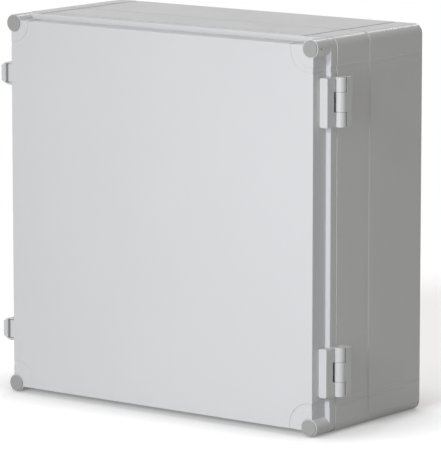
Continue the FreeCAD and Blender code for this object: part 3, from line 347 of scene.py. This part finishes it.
settled_dust, dust_in, dust_out = new_group("settled_dust", ["Amount"], {"Dust": NUMBER, "Touch": NUMBER})
dust_place = add_node(settled_dust, "ShaderNodeTexCoord").outputs["Object"]
dust_face = add_node(settled_dust, "ShaderNodeNewGeometry")
dust_up = add_node(settled_dust, "ShaderNodeSeparateXYZ")
settled_dust.links.new(dust_face.outputs["Normal"], dust_up.inputs["Vector"])
dust_noise = noise_node(settled_dust, dust_place, DUST_PER_METRE, detail=5.0)
dust_mask = math_node(settled_dust, "MULTIPLY", dust_up.outputs["Z"], dust_noise.outputs["Fac"], clamp=True)
dust_mask = math_node(settled_dust, "MULTIPLY", dust_mask, dust_in.outputs["Amount"], clamp=True)
touch_noise = noise_node(settled_dust, dust_place, TOUCH_PER_METRE, detail=3.0, distortion=0.6)
touch_mask = math_node(settled_dust, "SUBTRACT", touch_noise.outputs["Fac"], NOISE_MIDDLE)
settled_dust.links.new(dust_mask, dust_out.inputs["Dust"])
settled_dust.links.new(touch_mask, dust_out.inputs["Touch"])


def use_group(tree, group, **numbers):
    """A node that uses a group, with its own values."""
    node = add_node(tree, "ShaderNodeGroup", node_tree=group)
    for label, value in numbers.items():
        node.inputs[label].default_value = value
    return node


def mix_colour(tree, amount, first, second, blend="MIX"):
    """The colour output of a Mix node. amount, first and second are sockets or values."""
    node = add_node(tree, "ShaderNodeMix", data_type="RGBA", blend_type=blend)
    for place, value in ((MIX_AMOUNT, amount), (MIX_FIRST, first), (MIX_SECOND, second)):
        feed(tree, value, node.inputs[place])
    return node.outputs[MIX_RESULT]


def bumped_normal(tree, height, depth, normal=None, invert=False):
    """The normal of a Bump node, laid over another normal where one is given."""
    bump = add_node(tree, "ShaderNodeBump", invert=invert)
    bump.inputs["Distance"].default_value = depth
    tree.links.new(height, bump.inputs["Height"])
    if normal:
        tree.links.new(normal, bump.inputs["Normal"])
    return bump.outputs["Normal"]


def surface_shader(tree, colour, roughness, normal, metallic=0.0):
    """The Principled shader of a material, joined to the material's output."""
    shader = add_node(tree, "ShaderNodeBsdfPrincipled")
    shader.inputs["Metallic"].default_value = metallic
    feed(tree, roughness, shader.inputs["Roughness"])
    tree.links.new(colour, shader.inputs["Base Color"])
    tree.links.new(normal, shader.inputs["Normal"])
    out = add_node(tree, "ShaderNodeOutputMaterial")
    tree.links.new(shader.outputs["BSDF"], out.inputs["Surface"])
    return shader


def moulded_plastic(name, colour, edge_highlight, roughness, edge_radius, grain_size, mottle=MOTTLE_SHADE):
    """Satin moulded plastic: fine grain, softened edges with a painted highlight of a lighter colour along
    them, touch marks and dust.
    """
    material, tree = bare_material(name)
    edge = use_group(tree, rounded_edge, Radius=edge_radius)
    grain = use_group(tree, moulded_grain, Size=grain_size)
    dirt = use_group(tree, settled_dust, Amount=DUST_AMOUNT)
    shade = math_node(tree, "MULTIPLY_ADD", grain.outputs["Mottle"], mottle, 1.0 - mottle / 2)
    base = mix_colour(tree, 1.0, colour, shade, "MULTIPLY")
    base.node.name = PLAIN_COLOUR
    # Painted highlight: a lighter colour is mixed in along the edges that the Bevel finds.
    base = mix_colour(tree, edge.outputs["Edge"], base, edge_highlight)
    base = mix_colour(tree, dirt.outputs["Dust"], base, DUST_GREY)
    rough = math_node(tree, "MULTIPLY_ADD", dirt.outputs["Touch"], TOUCH_ROUGHNESS, roughness, clamp=True)
    normal = bumped_normal(tree, grain.outputs["Height"], GRAIN_DEPTH, edge.outputs["Normal"])
    shader = surface_shader(tree, base, rough, normal)
    shader.inputs["IOR"].default_value = PLASTIC_IOR
    return material


def add_mould_lines(material, front_depth, lip_width):
    """Rounds over the lip at a moulding's front edge with a bump, and paints a highlight of lighter grey on
    that lip and along the lips of its grooves.
    """
    tree = material.node_tree
    shader = next(node for node in tree.nodes if node.type == "BSDF_PRINCIPLED")
    plain_normal = shader.inputs["Normal"].links[0].from_socket
    plain = shader.inputs["Base Color"].links[0].from_socket
    lines = use_group(tree, lip_highlight_masks, Front=front_depth, Width=lip_width, Groove=GROOVE_LIP_HALF)
    lip_normal = bumped_normal(tree, lines.outputs["Lip"], LIP_DROP, plain_normal, invert=True)
    # Painted highlight: a lighter grey is laid along the lips of the grooves and along the front lip.
    groove_highlight = math_node(tree, "MULTIPLY", lines.outputs["Line"], GROOVE_LIP_HIGHLIGHT)
    groove_highlighted = mix_colour(tree, groove_highlight, plain, LIP_HIGHLIGHT_GREY)
    tree.links.new(lip_normal, shader.inputs["Normal"])
    tree.links.new(mix_colour(tree, lines.outputs["Lip"], groove_highlighted, LIP_HIGHLIGHT_GREY), shader.inputs["Base Color"])


def finish_nodes(material, *names):
    """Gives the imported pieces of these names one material."""
    for name in names:
        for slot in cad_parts[name].material_slots:
            slot.material = material


door_plastic = moulded_plastic("door_grey", ENCLOSURE_GREY, ENCLOSURE_EDGE_HIGHLIGHT, ENCLOSURE_ROUGHNESS,
                               DOOR_EDGE_RADIUS, ENCLOSURE_GRAIN)
finish_nodes(door_plastic, "door")
for body_name, lip in BODY_LIPS.items():
    body_plastic = moulded_plastic(f"{body_name}_grey", ENCLOSURE_GREY, ENCLOSURE_EDGE_HIGHLIGHT, ENCLOSURE_ROUGHNESS,
                                   BODY_EDGE_RADIUS, ENCLOSURE_GRAIN)
    add_mould_lines(body_plastic, lip["front"], lip["width"])
    finish_nodes(body_plastic, body_name)

# ---------------------------------------------------------------- caps over the door posts
# Four round blanking caps, moulded in a darker grey and pressed into the ends of the door's hollow
# corner posts. Each has a thin chamfer, with a painted highlight of a much lighter grey along it.
CAP_GREY = (0.372, 0.376, 0.366, 1.0)
# Painted highlight: the much lighter grey laid along the caps' edges.
CAP_EDGE_HIGHLIGHT = (0.72, 0.73, 0.72, 1.0)
CAP_ROUGHNESS = 0.34
CAP_EDGE_RADIUS = 0.0003
CAP_GRAIN = 0.0008
LEVELS = ("upper", "lower")
cap_plastic = moulded_plastic("cap_grey", CAP_GREY, CAP_EDGE_HIGHLIGHT, CAP_ROUGHNESS, CAP_EDGE_RADIUS, CAP_GRAIN)
finish_nodes(cap_plastic, *(f"{level}_{side}_door_cap" for level in LEVELS for side in ("left", "right")))

# ---------------------------------------------------------------- hinges
# Two hinges on the right, moulded in the enclosure's plastic with a smoother finish. One leaf is
# screwed to the door and one to the frame, from inside, and their knuckles turn on a steel pin.
FITTING_GREY = (0.700, 0.710, 0.716, 1.0)
# Painted highlight: the lighter grey laid along the edges of the fittings.
FITTING_EDGE_HIGHLIGHT = (0.800, 0.805, 0.810, 1.0)
FITTING_ROUGHNESS = 0.36
FITTING_EDGE_RADIUS = 0.0007
FITTING_GRAIN = 0.0009
fitting_plastic = moulded_plastic("fitting_grey", FITTING_GREY, FITTING_EDGE_HIGHLIGHT, FITTING_ROUGHNESS,
                                  FITTING_EDGE_RADIUS, FITTING_GRAIN)
finish_nodes(fitting_plastic,
             *(f"{level}_hinge_{leaf}_leaf" for level in LEVELS for leaf in ("door", "frame")))

# ---------------------------------------------------------------- latches
# Two clip latches on the left. A forked lever turns on a bracket at the door's edge and its hook reaches
# behind a keeper on the frame. Fingers polish the lever, so it is a shade smoother than the rest.
LEVER_GREY = (0.668, 0.674, 0.676, 1.0)
# Painted highlight: the lighter grey laid along the lever's edges.
LEVER_EDGE_HIGHLIGHT = (0.690, 0.695, 0.700, 1.0)
LEVER_ROUGHNESS = 0.30
LEVER_MOTTLE = 0.07
lever_plastic = moulded_plastic("lever_grey", LEVER_GREY, LEVER_EDGE_HIGHLIGHT, LEVER_ROUGHNESS,
                                FITTING_EDGE_RADIUS, FITTING_GRAIN, mottle=LEVER_MOTTLE)
finish_nodes(lever_plastic, *(f"{level}_latch_lever" for level in LEVELS))
finish_nodes(fitting_plastic,
             *(f"{level}_latch_{part}" for level in LEVELS for part in ("bracket", "keeper")))

# ---------------------------------------------------------------- seals
# The door's gasket is a bead of polyurethane foam, poured into a channel round the rim. It cures with
# a crowned skin, and the frame's tongue presses a shallow dent along its middle. A rubber cord of the
# same dark grey lies in a groove between the frame and the base.
SEAL_GREY = (0.030, 0.031, 0.033, 1.0)
SEAL_DUSTY = (0.105, 0.105, 0.103, 1.0)
BLOOM_PER_METRE = 35.0
BLOOM_CONTRAST = 2.2
BLOOM_OFFSET = -0.85
BEAD_ROUGHNESS = 0.62
BEAD_CELL = 0.0007
BEAD_CELL_DEPTH = 0.00006
CORD_ROUGHNESS = 0.50
CORD_CELL = 0.0004
CORD_CELL_DEPTH = 0.00002
BEAD_HALF_WIDTH = 0.0029
BEAD_BEND = 0.0511
BEAD_ARC_STEPS = 18
BEAD_DENT = (0.0, 0.0025)
BEAD_SHOULDER = ((0.0005, 0.00258), (0.0011, 0.00268), (0.0018, 0.0025), (0.0024, 0.0021),
                 (0.00275, 0.00155), (BEAD_HALF_WIDTH, 0.0009), (BEAD_HALF_WIDTH, 0.0))
CORNER_SIDES = ((1, 1), (-1, 1), (-1, -1), (1, -1))

foam_skin, foam_in, foam_out = new_group("foam_skin", ["Cell"], {"Height": NUMBER, "Chalk": NUMBER})
foam_place = add_node(foam_skin, "ShaderNodeTexCoord").outputs["Object"]
foam_cells = add_node(foam_skin, "ShaderNodeTexVoronoi", feature="SMOOTH_F1")
foam_skin.links.new(foam_place, foam_cells.inputs["Vector"])
foam_skin.links.new(math_node(foam_skin, "DIVIDE", 1.0, foam_in.outputs["Cell"]), foam_cells.inputs["Scale"])
foam_chalk = noise_node(foam_skin, foam_place, BLOOM_PER_METRE, detail=6.0)
foam_skin.links.new(foam_cells.outputs["Distance"], foam_out.inputs["Height"])
foam_skin.links.new(foam_chalk.outputs["Fac"], foam_out.inputs["Chalk"])


def seal_material(name, cell, roughness, cell_depth):
    """Dark rubbery skin with fine cells and a chalky bloom in patches."""
    material, tree = bare_material(name)
    skin = use_group(tree, foam_skin, Cell=cell)
    bloom = math_node(tree, "MULTIPLY_ADD", skin.outputs["Chalk"], BLOOM_CONTRAST, BLOOM_OFFSET, clamp=True)
    surface_shader(tree, mix_colour(tree, bloom, SEAL_GREY, SEAL_DUSTY), roughness,
                   bumped_normal(tree, skin.outputs["Height"], cell_depth))
    return material


def link_piece(name, data, material, body):
    """Adds a finished mesh or text to the scene as a piece that rides on a body."""
    data.materials.append(material)
    piece = add_object(name, data)
    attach(piece, body)
    return piece


def round_corners(steps):
    """Goes round a rounded rectangle: each point's corner, as two signs, and its direction from there."""
    for quarter, (side_x, side_z) in enumerate(CORNER_SIDES):
        for step in range(steps + 1):
            turn = (quarter + step / steps) * math.pi / 2
            yield Vector((side_x, 0, side_z)), Vector((math.cos(turn), 0, math.sin(turn)))


seal_low, seal_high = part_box("door_seal")
bead_straight = seal_high.x - BEAD_HALF_WIDTH - BEAD_BEND
bead_profile = [(-across, proud) for across, proud in reversed(BEAD_SHOULDER)]
bead_profile += [BEAD_DENT, *BEAD_SHOULDER]
bead_build = bmesh.new()
bead_rings = []
for corner, outward in round_corners(BEAD_ARC_STEPS):
    bead_rings.append([bead_build.verts.new(corner * bead_straight + outward * (BEAD_BEND + across)
                                            + Vector((0, seal_low.y + proud, 0)))
                       for across, proud in bead_profile])
for ring, following in zip(bead_rings, bead_rings[1:] + bead_rings[:1]):
    for point in range(len(bead_profile)):
        beside = (point + 1) % len(bead_profile)
        face = bead_build.faces.new((ring[point], ring[beside], following[beside], following[point]))
        face.smooth = beside > 0
bmesh.ops.recalc_face_normals(bead_build, faces=bead_build.faces)
bead_mesh = bpy.data.meshes.new("door_gasket_bead")
bead_build.to_mesh(bead_mesh)
bead_build.free()
foam_bead = seal_material("foam_bead", BEAD_CELL, BEAD_ROUGHNESS, BEAD_CELL_DEPTH)
door_gasket_bead = link_piece("door_gasket_bead", bead_mesh, foam_bead, "door")
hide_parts("door_seal")
finish_nodes(seal_material("cord_rubber", CORD_CELL, CORD_ROUGHNESS, CORD_CELL_DEPTH), "frame_seal")

# ---------------------------------------------------------------- screws and pins
# Cross-recessed screws in bright zinc-plated steel hold every fitting. The hinges and latches turn on
# drawn steel pins, left bare and slightly oily.
ZINC_BRIGHT = (0.72, 0.74, 0.76, 1.0)
ZINC_DULL = (0.46, 0.47, 0.47, 1.0)
ZINC_ROUGHNESS = 0.26
ZINC_PATCH = 0.003
PIN_STEEL = (0.60, 0.60, 0.59, 1.0)
PIN_OILY = (0.34, 0.33, 0.31, 1.0)
PIN_ROUGHNESS = 0.22
PIN_PATCH = 0.006
METAL_EDGE_RADIUS = 0.0002
DULL_CONTRAST = 2.4
DULL_OFFSET = -0.8
DULL_ROUGHNESS = 0.18
SCRATCHES_PER_METRE = (140.0, 2600.0, 1900.0)
SCRATCH_DEPTH = 0.000006

worn_plating, plating_in, plating_out = new_group("worn_plating", ["Patch"],
                                                  {"Blotch": NUMBER, "Scratch": NUMBER})
plating_place = add_node(worn_plating, "ShaderNodeTexCoord").outputs["Object"]
plating_scale = math_node(worn_plating, "DIVIDE", 1.0, plating_in.outputs["Patch"])
plating_blotch = noise_node(worn_plating, plating_place, plating_scale, detail=5.0)
plating_stretch = add_node(worn_plating, "ShaderNodeMapping")
plating_stretch.inputs["Scale"].default_value = SCRATCHES_PER_METRE
worn_plating.links.new(plating_place, plating_stretch.inputs["Vector"])
plating_scratch = noise_node(worn_plating, plating_stretch.outputs["Vector"], 1.0)
worn_plating.links.new(plating_blotch.outputs["Fac"], plating_out.inputs["Blotch"])
worn_plating.links.new(plating_scratch.outputs["Fac"], plating_out.inputs["Scratch"])


def plated_metal(name, bright, dull, roughness, patch, edge_radius=METAL_EDGE_RADIUS):
    """Bare or plated metal: dull patches, fine scratches along its length and brighter worn edges."""
    material, tree = bare_material(name)
    edge = use_group(tree, rounded_edge, Radius=edge_radius)
    plating = use_group(tree, worn_plating, Patch=patch)
    dulled = math_node(tree, "MULTIPLY_ADD", plating.outputs["Blotch"], DULL_CONTRAST, DULL_OFFSET,
                       clamp=True)
    base = mix_colour(tree, dulled, bright, dull)
    base = mix_colour(tree, edge.outputs["Edge"], base, bright)
    rough = math_node(tree, "MULTIPLY_ADD", dulled, DULL_ROUGHNESS, roughness, clamp=True)
    normal = bumped_normal(tree, plating.outputs["Scratch"], SCRATCH_DEPTH, edge.outputs["Normal"])
    surface_shader(tree, base, rough, normal, metallic=1.0)
    return material


finish_nodes(plated_metal("zinc_screw", ZINC_BRIGHT, ZINC_DULL, ZINC_ROUGHNESS, ZINC_PATCH),
             "frame_screws", "hinge_door_screws", "hinge_frame_screws", "latch_bracket_screws",
             "latch_keeper_screws", "plate_screws", "rail_screws", "terminal_screws")
finish_nodes(plated_metal("pin_steel", PIN_STEEL, PIN_OILY, PIN_ROUGHNESS, PIN_PATCH),
             *(f"{level}_{fitting}_pin" for level in LEVELS for fitting in ("hinge", "latch")))

# ---------------------------------------------------------------- mounting plate and its inserts
# A sheet of galvanised steel with cut corners, screwed to four bosses. Hot-dip zinc freezes in broad
# crystals, so the sheet shows a patchwork of greys. Each boss holds a turned brass insert.
GALVANISED_LIGHT = (0.49, 0.51, 0.53, 1.0)
GALVANISED_DARK = (0.37, 0.39, 0.41, 1.0)
GALVANISED_EDGE = (0.66, 0.67, 0.68, 1.0)
GALVANISED_ROUGHNESS = 0.40
GALVANISED_ROUGHNESS_SPREAD = 0.20
SHEET_EDGE_RADIUS = 0.0004
CRYSTALS_PER_METRE = 85.0
CRYSTAL_DEPTH = 0.00002
CRYSTAL_WARPS_PER_METRE = 120.0
CRYSTAL_WARP = 0.006
BRASS = (0.78, 0.58, 0.27, 1.0)
BRASS_TARNISHED = (0.50, 0.35, 0.16, 1.0)
BRASS_ROUGHNESS = 0.24
BRASS_PATCH = 0.003

galvanised, sheet_tree = bare_material("galvanised_sheet")
sheet_place = add_node(sheet_tree, "ShaderNodeTexCoord").outputs["Object"]
sheet_warp = noise_node(sheet_tree, sheet_place, CRYSTAL_WARPS_PER_METRE)
sheet_shift = add_node(sheet_tree, "ShaderNodeVectorMath", operation="SCALE")
sheet_shift.inputs["Scale"].default_value = CRYSTAL_WARP
sheet_tree.links.new(sheet_warp.outputs["Color"], sheet_shift.inputs[0])
sheet_sum = add_node(sheet_tree, "ShaderNodeVectorMath", operation="ADD")
sheet_tree.links.new(sheet_place, sheet_sum.inputs[0])
sheet_tree.links.new(sheet_shift.outputs["Vector"], sheet_sum.inputs[1])
crystals = add_node(sheet_tree, "ShaderNodeTexVoronoi")
crystals.inputs["Scale"].default_value = CRYSTALS_PER_METRE
sheet_tree.links.new(sheet_sum.outputs["Vector"], crystals.inputs["Vector"])
crystal_shade = add_node(sheet_tree, "ShaderNodeSeparateColor")
sheet_tree.links.new(crystals.outputs["Color"], crystal_shade.inputs["Color"])
sheet_edge = use_group(sheet_tree, rounded_edge, Radius=SHEET_EDGE_RADIUS)
sheet_base = mix_colour(sheet_tree, crystal_shade.outputs["Red"], GALVANISED_DARK, GALVANISED_LIGHT)
sheet_base = mix_colour(sheet_tree, sheet_edge.outputs["Edge"], sheet_base, GALVANISED_EDGE)
sheet_rough = math_node(sheet_tree, "MULTIPLY_ADD", crystal_shade.outputs["Green"],
                        GALVANISED_ROUGHNESS_SPREAD, GALVANISED_ROUGHNESS)
sheet_normal = bumped_normal(sheet_tree, crystals.outputs["Distance"], CRYSTAL_DEPTH,
                             sheet_edge.outputs["Normal"])
surface_shader(sheet_tree, sheet_base, sheet_rough, sheet_normal, metallic=1.0)
finish_nodes(galvanised, "mounting_plate")
turned_brass = plated_metal("turned_brass", BRASS, BRASS_TARNISHED, BRASS_ROUGHNESS, BRASS_PATCH)
finish_nodes(turned_brass, "plate_inserts")

# ---------------------------------------------------------------- terminal rail
# A top-hat rail rolled from steel strip and plated after cutting, so its cut ends are plated too. The
# plating is slightly yellow, and dulls in broad patches.
RAIL_BRIGHT = (0.57, 0.565, 0.52, 1.0)
RAIL_DULL = (0.42, 0.415, 0.37, 1.0)
RAIL_ROUGHNESS = 0.28
RAIL_PATCH = 0.012
RAIL_EDGE_RADIUS = 0.0003
plated_strip = plated_metal("plated_strip", RAIL_BRIGHT, RAIL_DULL, RAIL_ROUGHNESS, RAIL_PATCH,
                            RAIL_EDGE_RADIUS)
finish_nodes(plated_strip, "din_rail")

# ---------------------------------------------------------------- terminals and end stops
# Ten slim feed-through terminals in grey polyamide, one earth terminal whose housing is green with
# yellow shoulders, and a clamped stop at each end of the row.
TERMINAL_NUMBERS = range(1, 11)
TERMINAL_GREY = (0.50, 0.50, 0.47, 1.0)
# Painted highlight: the lighter colour laid along the terminals' edges.
TERMINAL_EDGE_HIGHLIGHT = (0.62, 0.62, 0.58, 1.0)
TERMINAL_ROUGHNESS = 0.48
TERMINAL_EDGE_RADIUS = 0.00025
TERMINAL_GRAIN = 0.0005
EARTH_GREEN = (0.030, 0.240, 0.070, 1.0)
EARTH_YELLOW = (0.780, 0.560, 0.025, 1.0)
# Painted highlight: the lighter colour laid along the earth terminal's edges.
EARTH_EDGE_HIGHLIGHT = (0.420, 0.460, 0.160, 1.0)
EARTH_ROUGHNESS = 0.46
EARTH_MIDDLE = 0.060
EARTH_GREEN_HALF = 0.0125
STOP_GREY = (0.165, 0.17, 0.172, 1.0)
# Painted highlight: the lighter grey laid along the end stops' edges.
STOP_EDGE_HIGHLIGHT = (0.30, 0.305, 0.305, 1.0)
STOP_ROUGHNESS = 0.50
terminal_plastic = moulded_plastic("terminal_grey", TERMINAL_GREY, TERMINAL_EDGE_HIGHLIGHT, TERMINAL_ROUGHNESS,
                                   TERMINAL_EDGE_RADIUS, TERMINAL_GRAIN)
finish_nodes(terminal_plastic, *(f"terminal_{number}" for number in TERMINAL_NUMBERS))
stop_plastic = moulded_plastic("stop_grey", STOP_GREY, STOP_EDGE_HIGHLIGHT, STOP_ROUGHNESS, TERMINAL_EDGE_RADIUS,
                               TERMINAL_GRAIN)
finish_nodes(stop_plastic, "left_end_stop", "right_end_stop")

earth_plastic = moulded_plastic("earth_green_yellow", EARTH_GREEN, EARTH_EDGE_HIGHLIGHT, EARTH_ROUGHNESS,
                                TERMINAL_EDGE_RADIUS, TERMINAL_GRAIN)
earth_tree = earth_plastic.node_tree
earth_place = add_node(earth_tree, "ShaderNodeTexCoord")
earth_axes = add_node(earth_tree, "ShaderNodeSeparateXYZ")
earth_tree.links.new(earth_place.outputs["Object"], earth_axes.inputs["Vector"])
earth_from_middle = math_node(earth_tree, "SUBTRACT", earth_axes.outputs["Z"], EARTH_MIDDLE)
earth_from_middle = math_node(earth_tree, "ABSOLUTE", earth_from_middle)
earth_shoulder = math_node(earth_tree, "GREATER_THAN", earth_from_middle, EARTH_GREEN_HALF)
earth_colour = mix_colour(earth_tree, earth_shoulder, EARTH_GREEN, EARTH_YELLOW)
earth_tree.links.new(earth_colour, earth_tree.nodes[PLAIN_COLOUR].inputs[MIX_FIRST])
finish_nodes(earth_plastic, "earth_terminal")

# ---------------------------------------------------------------- number markers
# A white tag clips onto the front of each terminal, with the terminal's number printed on it in black.
# Each tag is a thin moulded plate with rounded corners and a chamfered rim.
TAG_WHITE = (0.80, 0.80, 0.78, 1.0)
# Painted highlight: the lighter colour laid along the tags' edges.
TAG_EDGE_HIGHLIGHT = (0.86, 0.86, 0.85, 1.0)
TAG_ROUGHNESS = 0.44
TAG_EDGE_RADIUS = 0.00015
TAG_HALF_WIDTH = 0.0026
TAG_HALF_HEIGHT = 0.0048
TAG_CORNER = 0.0009
TAG_CORNER_STEPS = 5
TAG_CHAMFER = 0.0002
TAG_THICKNESS = 0.0008
PRINT_BLACK = (0.020, 0.020, 0.022, 1.0)
# Painted highlight: the lighter colour laid along the edges of the printed digits.
PRINT_EDGE_HIGHLIGHT = (0.050, 0.050, 0.052, 1.0)
PRINT_ROUGHNESS = 0.55
PRINT_EDGE_RADIUS = 0.00005
DIGIT_HEIGHT = 0.0044
DIGIT_PROUD = 0.00005
tag_plastic = moulded_plastic("tag_white", TAG_WHITE, TAG_EDGE_HIGHLIGHT, TAG_ROUGHNESS, TAG_EDGE_RADIUS,
                              TERMINAL_GRAIN)
print_ink = moulded_plastic("print_black", PRINT_BLACK, PRINT_EDGE_HIGHLIGHT, PRINT_ROUGHNESS, PRINT_EDGE_RADIUS,
                            TERMINAL_GRAIN)


def tag_outline(inset):
    """Points round a tag's rounded outline, drawn in by an inset."""
    return [(corner.x * (TAG_HALF_WIDTH - TAG_CORNER) + outward.x * (TAG_CORNER - inset),
             corner.z * (TAG_HALF_HEIGHT - TAG_CORNER) + outward.z * (TAG_CORNER - inset))
            for corner, outward in round_corners(TAG_CORNER_STEPS)]


def tag_mesh(name, middle):
    """A tag's plate, standing off the face whose middle is given."""
    build = bmesh.new()
    steps = ((0.0, 0.0), (0.0, TAG_THICKNESS - TAG_CHAMFER), (TAG_CHAMFER, TAG_THICKNESS))
    layers = [[build.verts.new(middle + Vector((x, -proud, z))) for x, z in tag_outline(inset)]
              for inset, proud in steps]
    for lower, upper in zip(layers, layers[1:]):
        for point in range(len(lower)):
            beside = (point + 1) % len(lower)
            build.faces.new((lower[point], lower[beside], upper[beside], upper[point]))
    build.faces.new(layers[0])
    build.faces.new(layers[-1])
    bmesh.ops.recalc_face_normals(build, faces=build.faces)
    mesh = bpy.data.meshes.new(name)
    build.to_mesh(mesh)
    build.free()
    return mesh


for number in TERMINAL_NUMBERS:
    terminal_low, terminal_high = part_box(f"terminal_{number}")
    tag_middle = (terminal_low + terminal_high) / 2
    tag_middle.y = terminal_low.y
    link_piece(f"terminal_tag_{number}", tag_mesh(f"terminal_tag_{number}", tag_middle), tag_plastic,
               "root")
    digits = bpy.data.curves.new(f"terminal_number_{number}", "FONT")
    digits.body = str(number)
    digits.size = DIGIT_HEIGHT
    digits.extrude = DIGIT_PROUD
    digits.align_x = "CENTER"
    digits.align_y = "CENTER"
    digit_piece = link_piece(f"terminal_number_{number}", digits, print_ink, "root")
    digit_piece.location = tag_middle - Vector((0, TAG_THICKNESS, 0))
    digit_piece.rotation_euler = (math.pi / 2, 0, 0)
